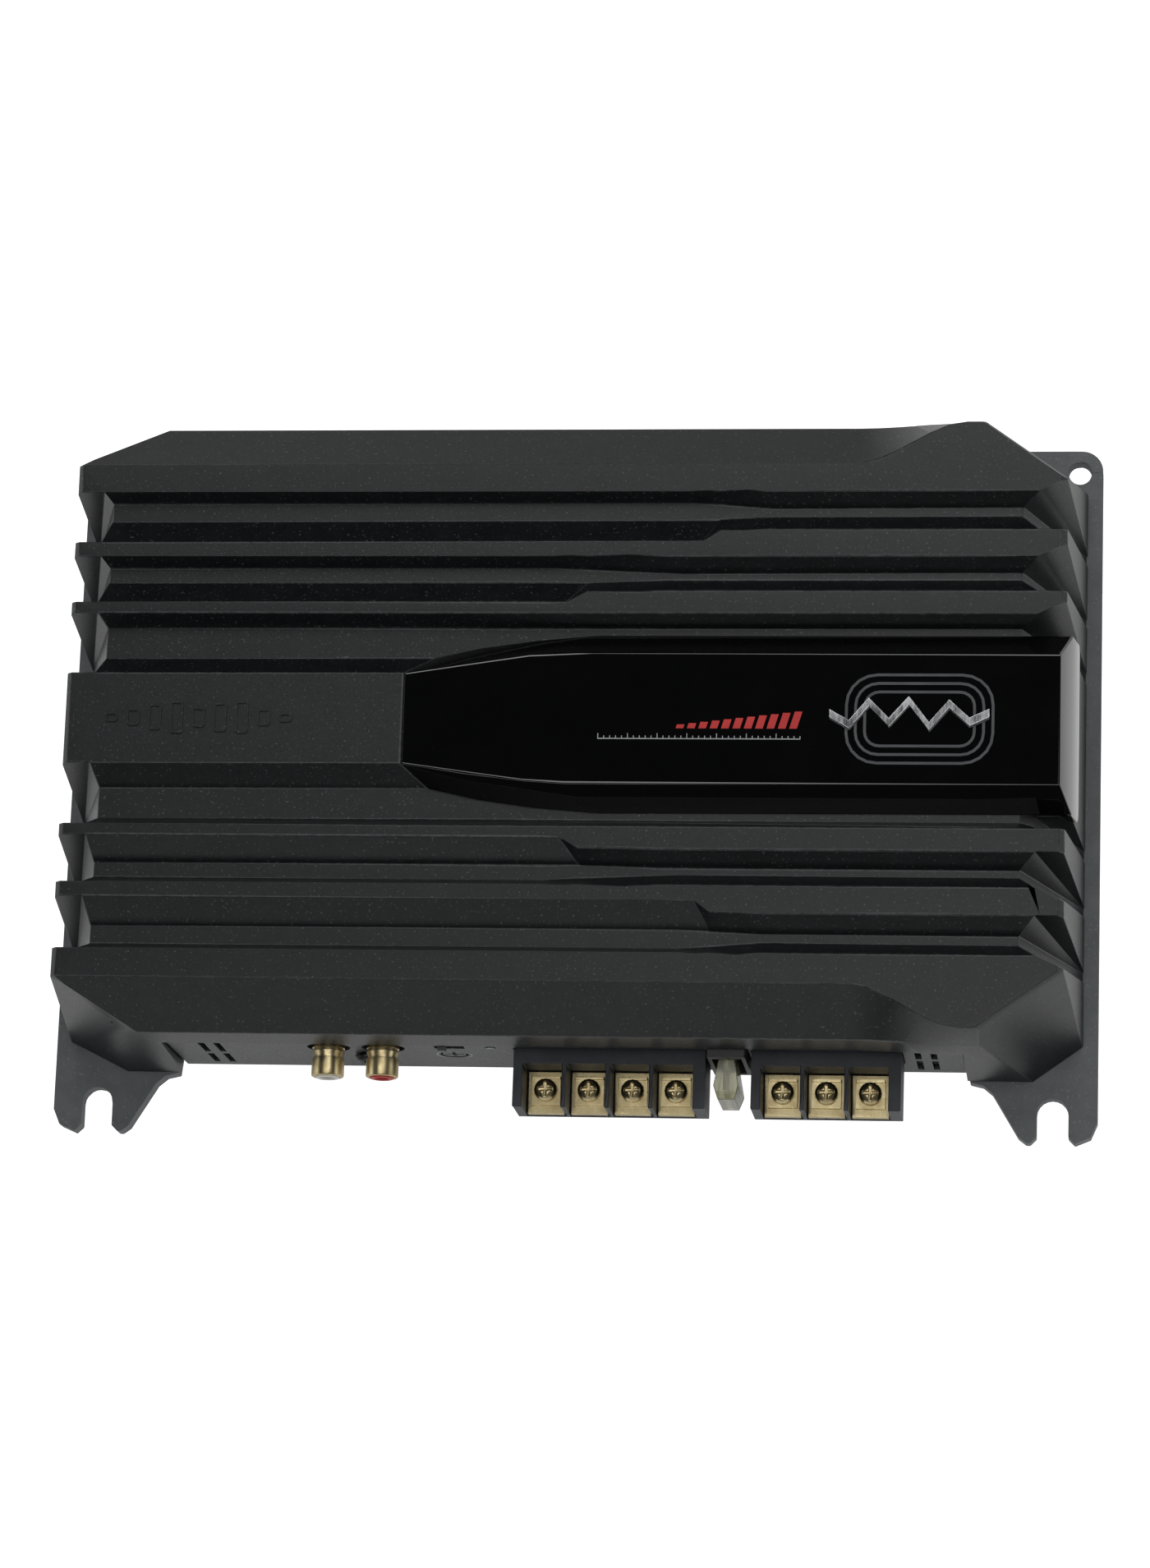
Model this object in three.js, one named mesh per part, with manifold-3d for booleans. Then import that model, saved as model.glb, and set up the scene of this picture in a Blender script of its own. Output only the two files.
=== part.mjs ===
// Two-channel car amplifier, lying on its mounting base.
// Millimetres. X runs along the length, terminals face -Y, +Z is up.
// The pieces are drawn from the middle of the cover, and the last line moves the
// origin to the middle of the footprint, on the surface that the base lies on.

import * as THREE from 'three';
import { ConvexGeometry } from 'three/addons/geometries/ConvexGeometry.js';
import { mergeVertices } from 'three/addons/utils/BufferGeometryUtils.js';
import Module from 'manifold-3d';

const wasm = await Module();
wasm.setup();

// ---- driving dimensions ----------------------------------------------------

const BASE_LENGTH = 269.6;          // X, over the flange
const BODY_DEPTH = 158.8;           // Y, lip to lip of the cover
const HEIGHT = 54;                  // top of the cooling ridges
const FLANGE = 5;                   // thickness of the base flange
const GAP = 0.3;                    // between two pieces that touch
const PAST = 1;                     // how far a cutting shape runs past a face

// Base flange and feet
const FLANGE_REACH = 5.9;           // flange beyond the lip at the rear
const FOOT_REACH = 18.6;            // foot tips beyond the lip at the front
const FLANGE_CORNER = 5.5;
const SLOT_WIDTH = 8;
const SLOT_LAND = 7.4;              // from the flange's end to the slot
const SLOT_DEPTH = 11.5;            // foot tip to the slot's round end
const SLOT_LEAD = 1.6;              // chamfer at the slot's mouth
const REAR_HOLE = 6;
const REAR_HOLE_INSET = 6;
const RING_INSET_X = 24;            // inner edge of the flange from its ends
const RING_INSET_Y = 9;             // and from the lip
const REBATE = 4;                   // ledge that the bottom plate lies in
const REBATE_DEPTH = 2;
const PLATE_LOW_FACE = 0.4;         // bottom plate above the ground
const PLATE_SHEET = 1.3;
// The inner side of a foot: distance in from the slot, distance back from the tip
const FOOT_SIDE = [[2.6, 0], [4.6, 1.5], [11.2, 12.6], [13.6, 14.6], [17, 15.4]];
const FOOT_ROOT = 17.5;             // where that side meets the panel, in from the slot

// Cover
const WALL = 3;
const LIP_DROP = 10;                // ridge top to the end of the long slopes
const LIP_DRAFT = 3;                // how far the walls lean out to the base
const END_DRAFT = 4.1;              // how far the end ribs lean out
const END_BEVEL = 1.4;              // bevel along the top of the end ribs
const END_BEVEL_DROP = 1.6;
const COVER_INSET = 3.8;            // cover's foot from the flange's end
const SLOPE_RUN = 12.3;             // long slope, seen from above
const SHOULDER_START = 60.8;        // right-hand shoulder, from the flange's end
const SHOULDER_END = 33.3;
const SHOULDER_OUT = 10.8;          // how far the shoulder widens the top
const CHANNEL_DEPTH = 4.6;          // outer channels below the ridges
const BED_DEPTH = 5.6;              // channel beside the middle ridge
const CHANNEL_TURN = 13;            // from the cover's foot to where a channel turns down
const CHANNEL_OVERRUN = 1.6;        // its straight stretch runs on past that
const CHANNEL_TURN_RIGHT = 2.4;     // the turn lies this much earlier on the right
const FLARE_START = 7.4;            // the ribs' end cut starts this far from their ends
const END_FLARE = 3.4;              // and narrows them by this
const OPENING_LEFT_INSET = 33.5;    // connection panel's opening, from the flange's ends
const OPENING_RIGHT_INSET = 33;
const OPENING_TOP = 34;
const OPENING_DEPTH = 1.5;          // the opening's cut beyond the wall
const BOSS_RADIUS = 3.5;
const BOSS_HEIGHT = 16;
const BOSS_HOLE_DEPTH = 12;
const BOSS_INSET_X = 13.8;
const BOSS_INSET_Y = 27;            // from the lip

// The cover's corners, cut off diagonally: distance of the cut from the ridge edge
// at the top and from the lip at the foot, its run along X and its fall per run
const CORNERS = [
  { side: -1, top: 0, foot: 4.6, run: 36, fall: 0.495 },
  { side: 1, top: 3.8, foot: 6.1, run: 24, fall: 0.72 },
];

// The outer channels, as distances from the middle. Each has the top edge of its
// steep wall, its floor from outer to inner edge, the top edge of its gentle wall,
// the floor and gentle edge once the inner ridge has widened, where along X that
// happens, and how much longer the steep wall takes
const CHANNELS = [
  {
    steep: 59.68,
    floor: [57.85, 53.1],
    gentle: 46.35,
    wide: { floor: [56.4, 54.05], gentle: 49.6 },
    step: [31.8, 39.3],
    facet: 12,
  },
  {
    steep: 42.58,
    floor: [40.65, 36.8],
    gentle: 30.45,
    wide: { floor: [39.25, 37.35], gentle: 33.5 },
    step: [-3.4, 5.8],
    facet: 20,
  },
];
const STEP_FLOOR = 0.6;             // how far the floor and the gentle edge
const STEP_GENTLE = 0.3;            // still have to go at the end of the step
const MIDDLE = { steep: 27.56, floor: [25, 16.95], gentle: 11.8 };
const MIDDLE_END = 30;              // plain middle channel runs under the trim by this

// Trim panel on the middle ridge
const TRIM_LEFT = -40;
const TRIM_SEAM = 6.6;              // its left seam, seen from above
const TRIM_THICK = 2.2;
const TRIM_RISE = 1;                // above the cooling ridges
const TRIM_HALF_TOP = 16.8;
const TRIM_HALF_FOOT = 23.1;
const TRIM_END = 1.5;               // its end bevel beyond the rib ends
const TRIM_SKIRT_DROP = 15;         // ridge top to the lower edge of its end flap
const TRIM_FLAP = 3;                // flap beyond the rib ends
const TRIM_FLAP_THICK = 2.1;
// Where it widens: X from its left end at the top and at the foot, half widths
// there, and the share of its rise reached
const TRIM_STATIONS = [
  { top: 16, foot: 20, halfTop: 14.1, halfFoot: 20, rise: 0.5 },
  { top: 32, foot: 33, halfTop: 16.3, halfFoot: 21.9, rise: 1 },
  { top: 42, foot: 48, halfTop: TRIM_HALF_TOP, halfFoot: TRIM_HALF_FOOT, rise: 1 },
];

// Waveform ornament on the trim panel
const WAVE_LEFT = 68;
const WAVE_PITCH = 5;
const WAVE_WIDTH = 2.2;
const WAVE_RISE = 1;
const WAVE_MIDDLE = 1.6;
const WAVE_HEIGHTS = [0.8, 2.2, 3.6, 1.6, 4, 2.6, 3.2, 1.4, 0.8];

// Connection panel and what sits in it
const PANEL_THICK = 1.3;
const PANEL_RECESS = 0.1;           // front face from the lip line
const PANEL_FOOT = 0.5;
const PANEL_MARGIN = 0.45;          // panel inside the cover's opening
const PANEL_TOP_MARGIN = 0.5;
const SHELF_REACH = 7;              // folded shelf behind the panel
const SHELF_THICK = 1.2;
const VENT_WIDTH = 1.6;
const VENT_ROWS = [[4.6, 15.8], [18.3, 29.9]];
const VENT_LEFT = [9.2, 13.2];      // from the opening's left end
const VENT_RIGHT = [11.8, 7.8];     // from its right end

const JACK_X = -59.7;               // left-hand jack
const JACK_PITCH = 14;
const JACK_Z = 25.5;
const JACK_RADIUS = 4.15;
const JACK_REACH = 8;
const JACK_CLEARANCE = 1.35;        // round the shell in the panel
const JACK_SHELL = 0.75;
const JACK_PIN_HOLE = 1.1;
const JACK_CONTACT = 0.5;
const JACK_SCREW_ASIDE = 1.6;       // screw to the right of the jacks' middle
const JACK_SCREW_DROP = 8.5;        // and below them

const SWITCH_X = -28.5;
const SWITCH_Z = 27.5;
const SWITCH_TRAVEL = 3.6;
const SWITCH_KNOB = 2;              // width and height of the slider's knob
const SWITCH_WINDOW = 3.5;          // height of the window
const LEVEL_X = -28.4;
const LEVEL_Z = 17.8;
const LEVEL_RADIUS = 3.1;
const LEVEL_CLEARANCE = 0.55;       // round it in the panel
const LENS_X = -18;
const LENS_Z = 27.6;
const LENS = [2, 1.2];              // width and height

// Terminal blocks
const CELL = 10;
const CELL_WALL = 1.1;
const SPEAKER_CELLS = 4;
const POWER_CELLS = 3;
const BLOCK_SIDE_LEFT = 2.35;
const BLOCK_SIDE_RIGHT = 3.1;
const BLOCK_REACH = 14.9;           // in front of the panel
const BLOCK_BACK = 3.7;             // wall between the panel and the cells
const BLOCK_BEHIND = 6;             // block behind the panel
const BLOCK_FOOT = 12.6;
const BLOCK_TOP = 27.2;
const BLOCK_FLOOR = 2.6;
const BLOCK_SILL = 1.5;             // depth of the notch for the plate's fold
const PLATE_THICK = 1;
const WASHER = 7.4;
const WASHER_THICK = 0.8;
const WASHER_LIP = 0.7;
const TERMINAL_SCREW = 3;
const TERMINAL_HEAD = 5.8;
const TERMINAL_HOLE = 0.4;          // clearance round a terminal screw
const SCREW_SETBACK = 5.9;          // terminal screw behind the block's front
const SPEAKER_BLOCK_X = -11.95;     // left face of the speaker block
const FUSE_SPACE_LEFT = 0.8;        // speaker block to the fuse socket
const FUSE_SPACE_RIGHT = 1.2;       // fuse socket to the power block

// Fuse and its socket
const FUSE_Z = 21.5;
const FUSE_WIDTH = 19;              // along Z
const FUSE_NECK = 3.4;              // thickness of its neck
const FUSE_GRIP = 6.4;              // thickness of its grip
const FUSE_REACH = 12.9;            // in front of the panel
const FUSE_SEAT = 4;                // clear body behind the panel's face
const FUSE_BLADE = 5;
const FUSE_BLADE_SPACING = 11.8;
const FUSE_BLADE_THICK = 0.7;
const FUSE_BLADE_REACH = 8.4;       // blades behind the clear body
const SOCKET_WALL_X = 1.6;          // beside the grip
const SOCKET_WALL_Z = 2.3;
const SOCKET_REACH = 3;             // in front of the panel
const SOCKET_DEPTH = 15;            // behind its face

// Inside
const BOARD_Z = 8;
const BOARD_THICK = 1.6;
const BOARD_SIDE_MARGIN = 12.8;     // inside the flange's ring at each end
const BOARD_REAR_MARGIN = 23.4;     // from the rear lip
const BOARD_FRONT_GAP = 1.2;        // behind the panel
const STAND_RADIUS = 3;
const STAND_INSET = 10;             // from the board's ends
const STAND_FRONT_INSET = 19.4;     // from the front lip
const STAND_REAR_INSET = 12;        // from the board's rear edge
const SCREW = 3;
const TOROID = { x: 10, y: 2, inner: 9, outer: 23, height: 19, corner: 3 };
const CAPACITORS = [[50, 4], [72, 4], [-52, -22]];
const CAPACITOR = { radius: 9, height: 26, corner: 0.5 };
const TRANSISTORS = [-75, -50];
const TRANSISTOR = { width: 16, depth: 20, thick: 5 };
const TRANSISTOR_INSET = 39.4;      // middle of the transistors from the rear lip
const CLAMP = { left: -90, right: -35, depth: 8, thick: 3 };

// ---- worked out from those --------------------------------------------------

const HALF = BASE_LENGTH / 2;
const LIP = BODY_DEPTH / 2;
const LIP_Z = HEIGHT - LIP_DROP;
const REAR = LIP + FLANGE_REACH;
const FRONT = -(LIP + FOOT_REACH);
const SEAT = FLANGE + GAP;                       // underside of the cover
const FOOT_X = HALF - COVER_INSET;               // cover's foot line at its ends
const END_X = FOOT_X - END_DRAFT;                // rib ends at the top
const CHANNEL_END = FOOT_X - CHANNEL_TURN;
const CHANNEL_Z = HEIGHT - CHANNEL_DEPTH;
const BED_Z = HEIGHT - BED_DEPTH;
const CEILING = BED_Z - WALL;
const RIDGE_EDGE = LIP - SLOPE_RUN;              // outer edge of the outer ridges
const OPENING_LEFT = -(HALF - OPENING_LEFT_INSET);
const OPENING_RIGHT = HALF - OPENING_RIGHT_INSET;
const PANEL_FRONT = -LIP + PANEL_RECESS;
const PANEL_BACK = PANEL_FRONT + PANEL_THICK;
const BEHIND = PANEL_BACK + GAP;
const BLOCK_FRONT = PANEL_FRONT - BLOCK_REACH;
const CELLS_BACK = PANEL_FRONT - BLOCK_BACK;
const SCREW_Y = BLOCK_FRONT + SCREW_SETBACK;
const PITCH = CELL + CELL_WALL;
const TRIM_TOP = HEIGHT + TRIM_RISE;
const TRIM_SKIRT_Z = HEIGHT - TRIM_SKIRT_DROP;
const BOARD_TOP = BOARD_Z + BOARD_THICK;
const RING_X = HALF - RING_INSET_X;
const RING_Y = LIP - RING_INSET_Y;
const BOARD_END = RING_X - BOARD_SIDE_MARGIN;
const BOARD_BACK = LIP - BOARD_REAR_MARGIN;
const TRANSISTOR_Y = LIP - TRANSISTOR_INSET;
const SOCKET_HALF_X = FUSE_GRIP / 2 + SOCKET_WALL_X;
const SOCKET_HALF_Z = FUSE_WIDTH / 2 + SOCKET_WALL_Z;
const FUSE_X = SPEAKER_BLOCK_X + blockWidth(SPEAKER_CELLS) + FUSE_SPACE_LEFT + SOCKET_HALF_X;
const BLOCKS = [
  { name: 'speaker', x: SPEAKER_BLOCK_X, cells: SPEAKER_CELLS },
  { name: 'power', x: FUSE_X + SOCKET_HALF_X + FUSE_SPACE_RIGHT, cells: POWER_CELLS },
];
const JACKS = [
  { side: 'left', x: JACK_X, insulator: 'white' },
  { side: 'right', x: JACK_X + JACK_PITCH, insulator: 'red' },
];
const JACK_SCREW_X = JACK_X + JACK_PITCH / 2 + JACK_SCREW_ASIDE;
const JACK_SCREW_Z = JACK_Z - JACK_SCREW_DROP;
const BOSS_PLACES = [-1, 1].flatMap((sx) => (
  [-1, 1].map((sy) => [sx * (HALF - BOSS_INSET_X), sy * (LIP - BOSS_INSET_Y)])
));

function blockWidth(cells) {
  return BLOCK_SIDE_LEFT + (cells - 1) * PITCH + CELL + BLOCK_SIDE_RIGHT;
}

// ---- helpers ----------------------------------------------------------------

function material(color, roughness, metalness) {
  return new THREE.MeshStandardMaterial({ color, roughness, metalness });
}

const FINISH = {
  casting: () => material(0x26272b, 0.62, 0.25),
  gloss: () => material(0x050506, 0.06, 0),
  chrome: () => material(0xd9dce0, 0.12, 1),
  base: () => material(0x222327, 0.6, 0.25),
  zinc: () => material(0x8f9296, 0.4, 0.9),
  panel: () => material(0x4d4f52, 0.55, 0.3),
  board: () => material(0x1d4a2c, 0.5, 0),
  black: () => material(0x101113, 0.5, 0),
  blue_black: () => material(0x23272f, 0.45, 0),
  gold: () => material(0xd8b45a, 0.22, 1),
  white: () => material(0xe8e6df, 0.45, 0),
  red: () => material(0xc8402a, 0.45, 0),
  black_metal: () => material(0x1b1b1d, 0.35, 0.8),
  clear: () => material(0xcfc9a6, 0.12, 0),
  lens: () => material(0x6d1613, 0.2, 0),
  copper: () => material(0xa85a2a, 0.4, 0.7),
  sleeve: () => material(0x1a1c24, 0.35, 0),
};

// A closed geometry as a solid that can be joined and cut
function solid(geometry, move = new THREE.Matrix4()) {
  const bare = geometry.clone().applyMatrix4(move);
  bare.deleteAttribute('normal');
  bare.deleteAttribute('uv');
  const merged = mergeVertices(bare, 1e-4);
  const mesh = new wasm.Mesh({
    numProp: 3,
    vertProperties: new Float32Array(merged.attributes.position.array),
    triVerts: new Uint32Array(merged.index.array),
  });
  return new wasm.Manifold(mesh);
}

function at(x, y, z) {
  return new THREE.Matrix4().makeTranslation(x, y, z);
}

function join(solids) {
  return solids.reduce((whole, piece) => whole.add(piece));
}

function cut(body, tools) {
  return tools.reduce((rest, tool) => rest.subtract(tool), body);
}

function hull(points) {
  return solid(new ConvexGeometry(points.map(([x, y, z]) => new THREE.Vector3(x, y, z))));
}

// A box from its lowest to its highest corner
function block(low, high) {
  const size = high.map((value, i) => value - low[i]);
  const middle = high.map((value, i) => (value + low[i]) / 2);
  return solid(new THREE.BoxGeometry(...size), at(...middle));
}

// A box given by its middle and half sizes in X and Z, and two places along Y
function bar(x, z, halfX, halfZ, front, back) {
  return block([x - halfX, front, z - halfZ], [x + halfX, back, z + halfZ]);
}

// An upright cylinder between two heights
function post(x, y, radius, low, high, sides = 24) {
  const turned = new THREE.CylinderGeometry(radius, radius, high - low, sides).rotateX(Math.PI / 2);
  return solid(turned, at(x, y, (low + high) / 2));
}

// A cylinder along Y between two places
function rod(x, z, radius, front, back, sides = 24) {
  const geometry = new THREE.CylinderGeometry(radius, radius, back - front, sides);
  return solid(geometry, at(x, (front + back) / 2, z));
}

// A flat outline, seen from above, raised between two heights
function raise(shape, low, high) {
  const geometry = new THREE.ExtrudeGeometry(shape, {
    depth: high - low,
    bevelEnabled: false,
    curveSegments: 6,
  });
  return solid(geometry, at(0, 0, low));
}

// A profile of [radius, distance] turned round Y
function turn(profile, sides) {
  return new THREE.LatheGeometry(profile.map(([r, h]) => new THREE.Vector2(r, h)), sides);
}

// The same turned round an upright axis at x, y
function spindle(x, y, profile, sides) {
  return solid(turn(profile, sides).rotateX(Math.PI / 2), at(x, y, 0));
}

// A cross-shaped driver recess round an upright axis
function crossRecess(x, y, low, high, half, arm = 0.4) {
  return join([
    block([x - half, y - arm, low], [x + half, y + arm, high]),
    block([x - arm, y - half, low], [x + arm, y + half, high]),
  ]);
}

// The point of the line from a to b at height z
function along(a, b, z) {
  const t = (z - a[2]) / (b[2] - a[2]);
  return [a[0] + t * (b[0] - a[0]), a[1] + t * (b[1] - a[1]), z];
}

function mirrored(points) {
  return [...points, ...points.map(([x, y, z]) => [x, -y, z])];
}

function flipped(body) {
  return body.mirror([0, 1, 0]);
}

const group = new THREE.Group();

function add(name, body, finish) {
  const { vertProperties, triVerts } = body.getMesh();
  const geometry = new THREE.BufferGeometry();
  geometry.setAttribute('position', new THREE.BufferAttribute(new Float32Array(vertProperties), 3));
  geometry.setIndex(new THREE.BufferAttribute(new Uint32Array(triVerts), 1));
  geometry.computeVertexNormals();
  const mesh = new THREE.Mesh(geometry, FINISH[finish]());
  mesh.name = name;
  group.add(mesh);
}

// ---- top cover --------------------------------------------------------------

const CUT_TOP = HEIGHT + 4;                      // cutting shapes end above the ridges
const RIB_TOP = HEIGHT - END_BEVEL_DROP;         // where a rib end's bevel begins

// How far the outer ridge's edge stands out at x: straight, then the shoulder
function shoulder(x) {
  return SHOULDER_OUT * THREE.MathUtils.smoothstep(x, HALF - SHOULDER_START, HALF - SHOULDER_END);
}

function coverSection(x) {
  const out = shoulder(x);
  const lipShare = 9;                            // the lip takes a ninth of the shoulder
  return mirrored([
    [x, LIP + LIP_DRAFT, SEAT],
    [x, LIP + out / lipShare, LIP_Z],
    [x, RIDGE_EDGE + out, HEIGHT],
  ]);
}

// A convex block whose ends and corner faces trim the cover
function endTrim() {
  const points = [];
  for (const { side, top, foot, run, fall } of CORNERS) {
    const low = [side * FOOT_X, LIP - foot, SEAT];
    const high = [side * END_X, RIDGE_EDGE - top, RIB_TOP];
    const crest = [side * (END_X - END_BEVEL), RIDGE_EDGE - top, HEIGHT];
    for (const [x, y, z] of [along(low, high, SEAT - PAST), high, along(high, crest, HEIGHT + 3)]) {
      points.push([x, y, z], [x - side * run, y + run * fall, z]);
    }
  }
  return hull(mirrored(points));
}

// The cover's outer form before its channels: slabs along X, trimmed at the ends
function coverForm() {
  const steps = 6;
  const places = [-HALF];
  for (let i = 0; i <= steps; i += 1) {
    places.push(HALF - THREE.MathUtils.lerp(SHOULDER_START, SHOULDER_END, i / steps));
  }
  places.push(HALF);
  const slabs = places.slice(1).map((x, i) => hull([...coverSection(places[i]), ...coverSection(x)]));
  return join(slabs).intersect(endTrim());
}

// One stretch of a channel between two cross-sections
function channelStretch(a, b, z) {
  return hull([a, b].flatMap(({ x, steep, floor, gentle }) => {
    const steepFoot = [x, floor[0], z];
    const gentleFoot = [x, floor[1], z];
    return [
      steepFoot,
      gentleFoot,
      along(steepFoot, [x, steep, HEIGHT], CUT_TOP),
      along(gentleFoot, [x, gentle, HEIGHT], CUT_TOP),
    ];
  }));
}

// Where a channel runs over the end and down to the cover's foot
function channelEnd(side, { steep, floor, gentle }, z, flare) {
  const above = HEIGHT + 0.6;
  const foot = SEAT - 0.8;
  const far = HALF + 6;
  const turnX = CHANNEL_END - (side > 0 ? CHANNEL_TURN_RIGHT : 0);
  const flareX = END_X - FLARE_START;
  const reach = (far - flareX) / FLARE_START;
  return hull([
    [side * turnX, floor[0], z],
    [side * turnX, floor[1], z],
    [side * FOOT_X, floor[0], foot],
    [side * FOOT_X, floor[1], foot],
    [side * far, floor[0], foot],
    [side * far, floor[1], foot],
    [side * flareX, steep, above],
    [side * flareX, gentle, above],
    [side * far, steep + flare * reach, above],
    [side * far, gentle, above],
  ]);
}

// An outer channel: plain, then narrowing where the ridge beside it widens
function outerChannel({ steep, floor, gentle, wide, step, facet }) {
  const plain = { steep, floor, gentle };
  const narrow = { steep, floor: wide.floor, gentle: wide.gentle };
  const between = {
    steep,
    floor: [(floor[0] * 2 + wide.floor[0]) / 3, wide.floor[1] - STEP_FLOOR],
    gentle: wide.gentle - STEP_GENTLE,
  };
  const places = [
    { x: -CHANNEL_END - CHANNEL_OVERRUN, ...plain },
    { x: step[0], ...plain },
    { x: step[1], ...between },
    { x: step[1] + facet, ...narrow },
    { x: CHANNEL_END + CHANNEL_OVERRUN, ...narrow },
  ];
  const stretches = places.slice(1).map((place, i) => channelStretch(places[i], place, CHANNEL_Z));
  return join([
    ...stretches,
    channelEnd(-1, plain, CHANNEL_Z, 0),
    channelEnd(1, narrow, CHANNEL_Z, END_FLARE),
  ]);
}

// The channel beside the plain left part of the middle ridge
function middleChannel() {
  const left = { x: -CHANNEL_END - CHANNEL_OVERRUN, ...MIDDLE };
  const right = { x: TRIM_LEFT + MIDDLE_END, ...MIDDLE };
  return channelStretch(left, right, BED_Z).add(channelEnd(-1, MIDDLE, BED_Z, 0));
}

// The bed that the trim panel lies in
function trimBed() {
  const half = MIDDLE.floor[0];
  const rise = (CUT_TOP - BED_Z) / BED_DEPTH;
  const lean = (MIDDLE.steep - half) * rise;
  const left = TRIM_LEFT + TRIM_SEAM;
  const right = CHANNEL_END + CHANNEL_OVERRUN;
  const bed = hull(mirrored([
    [left, half, BED_Z],
    [right, half, BED_Z],
    [left - TRIM_SEAM * rise, half + lean, CUT_TOP],
    [right, half + lean, CUT_TOP],
  ]));
  const across = { steep: MIDDLE.steep, floor: [half, -half], gentle: -MIDDLE.steep };
  return bed.add(channelEnd(1, across, BED_Z, END_FLARE));
}

// The rib below the trim panel's end flap
function trimRib() {
  const top = TRIM_SKIRT_Z - 2 * GAP;
  const half = TRIM_HALF_FOOT - 1;
  const inner = CHANNEL_END - 6;
  const shelf = SEAT + 20;
  const crest = along([FOOT_X, half, SEAT], [END_X, half, RIB_TOP], top);
  return hull(mirrored([
    [FOOT_X, half, SEAT],
    [inner, half, shelf],
    [inner, half - 1, top],
    [crest[0], half - 1, top],
  ]));
}

// The room inside the cover, open at the bottom
function coverRoom() {
  const topX = CHANNEL_END - WALL - 2;
  const haunch = 6.5;                            // the ceiling ends this far inside the lip
  const haunchDrop = 3;
  const endX = FOOT_X - WALL - 0.6;
  const cornerX = 15.4;                          // the diagonal corner inside the foot
  const cornerY = 11;
  return hull([-1, 1].flatMap((side) => mirrored([
    [side * topX, LIP - haunch, CEILING],
    [side * topX, LIP - WALL, LIP_Z - haunchDrop],
    [side * endX, LIP - cornerY, SEAT - PAST],
    [side * (endX - cornerX), LIP - 2 * GAP, SEAT - PAST],
  ])));
}

function topCover() {
  const grooves = CHANNELS.flatMap((channel) => {
    const one = outerChannel(channel);
    return [one, flipped(one)];
  });
  const beside = middleChannel();
  const shell = cut(coverForm(), [...grooves, beside, flipped(beside), trimBed()]);
  const opening = block(
    [OPENING_LEFT, FRONT, 0],
    [OPENING_RIGHT, -LIP + WALL + OPENING_DEPTH, OPENING_TOP],
  );
  const open = cut(shell.add(trimRib()), [coverRoom(), opening]);
  const bosses = BOSS_PLACES.map(([x, y]) => post(x, y, BOSS_RADIUS, SEAT, SEAT + BOSS_HEIGHT));
  const holes = BOSS_PLACES.map(([x, y]) => (
    post(x, y, SCREW / 2, SEAT - PAST, SEAT + BOSS_HOLE_DEPTH, 16)
  ));
  return cut(join([open, ...bosses]), holes);
}

add('top_cover', topCover(), 'casting');

// ---- trim panel and its ornament ----------------------------------------------

// Cross-sections from the left seam to the right end: top edge and foot
function trimSections() {
  const foot = BED_Z + GAP;
  const left = TRIM_LEFT + GAP;
  return [
    [[left, MIDDLE.gentle, HEIGHT], [left + TRIM_SEAM, MIDDLE.floor[1] + 0.2, foot]],
    ...TRIM_STATIONS.map((station) => [
      [TRIM_LEFT + station.top, station.halfTop, HEIGHT + station.rise * TRIM_RISE],
      [TRIM_LEFT + station.foot, station.halfFoot, foot],
    ]),
    [[END_X - END_BEVEL, TRIM_HALF_TOP, TRIM_TOP], [END_X + TRIM_END, TRIM_HALF_FOOT, foot]],
  ].map(mirrored);
}

// The flap that folds down over the right-hand end
function trimFlap() {
  const foot = BED_Z + GAP;
  const outer = END_X + TRIM_FLAP;
  const inner = outer - TRIM_FLAP_THICK;
  const chamfer = 2;
  const narrow = TRIM_HALF_FOOT - TRIM_FLAP;
  return hull(mirrored([
    [END_X + TRIM_END, TRIM_HALF_FOOT, foot],
    [END_X - chamfer, TRIM_HALF_FOOT, foot],
    [END_X - chamfer, narrow - 1, foot + 3],
    [outer - 0.1, TRIM_HALF_FOOT, TRIM_SKIRT_Z + chamfer],
    [outer, narrow, TRIM_SKIRT_Z],
    [inner, narrow, TRIM_SKIRT_Z],
    [inner - 0.1, TRIM_HALF_FOOT, TRIM_SKIRT_Z + chamfer],
  ]));
}

// The hollow underneath it
function trimRoom() {
  const right = END_X - 7;
  const ceiling = TRIM_TOP - TRIM_THICK;
  const low = BED_Z - PAST;
  const foot = TRIM_HALF_FOOT - 3;
  return hull(mirrored([
    [TRIM_LEFT + 12, 9, ceiling - 1],
    [right, TRIM_HALF_TOP - 2, ceiling],
    [TRIM_LEFT + 14, 12, low],
    [TRIM_LEFT + 48, foot, low],
    [right, foot, low],
  ]));
}

function trimPanel() {
  const sections = trimSections();
  const cap = join(sections.slice(1).map((section, i) => hull([...sections[i], ...section])));
  return cap.add(trimFlap()).subtract(trimRoom());
}

add('trim_panel', trimPanel(), 'gloss');

// A plain waveform in raised metal
function waveform() {
  const upper = WAVE_HEIGHTS.map((height, i) => [
    WAVE_LEFT + i * WAVE_PITCH,
    (i % 2 ? -1 : 1) * height + WAVE_MIDDLE,
  ]);
  const shape = new THREE.Shape();
  shape.moveTo(...upper[0]);
  upper.slice(1).forEach(([x, y]) => shape.lineTo(x, y));
  [...upper].reverse().forEach(([x, y]) => shape.lineTo(x, y - WAVE_WIDTH));
  return raise(shape, TRIM_TOP + GAP / 2, TRIM_TOP + WAVE_RISE);
}

add('trim_emblem', waveform(), 'chrome');

// ---- base flange and bottom plate -------------------------------------------

const SLOT_X = HALF - SLOT_LAND - SLOT_WIDTH / 2;

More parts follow.
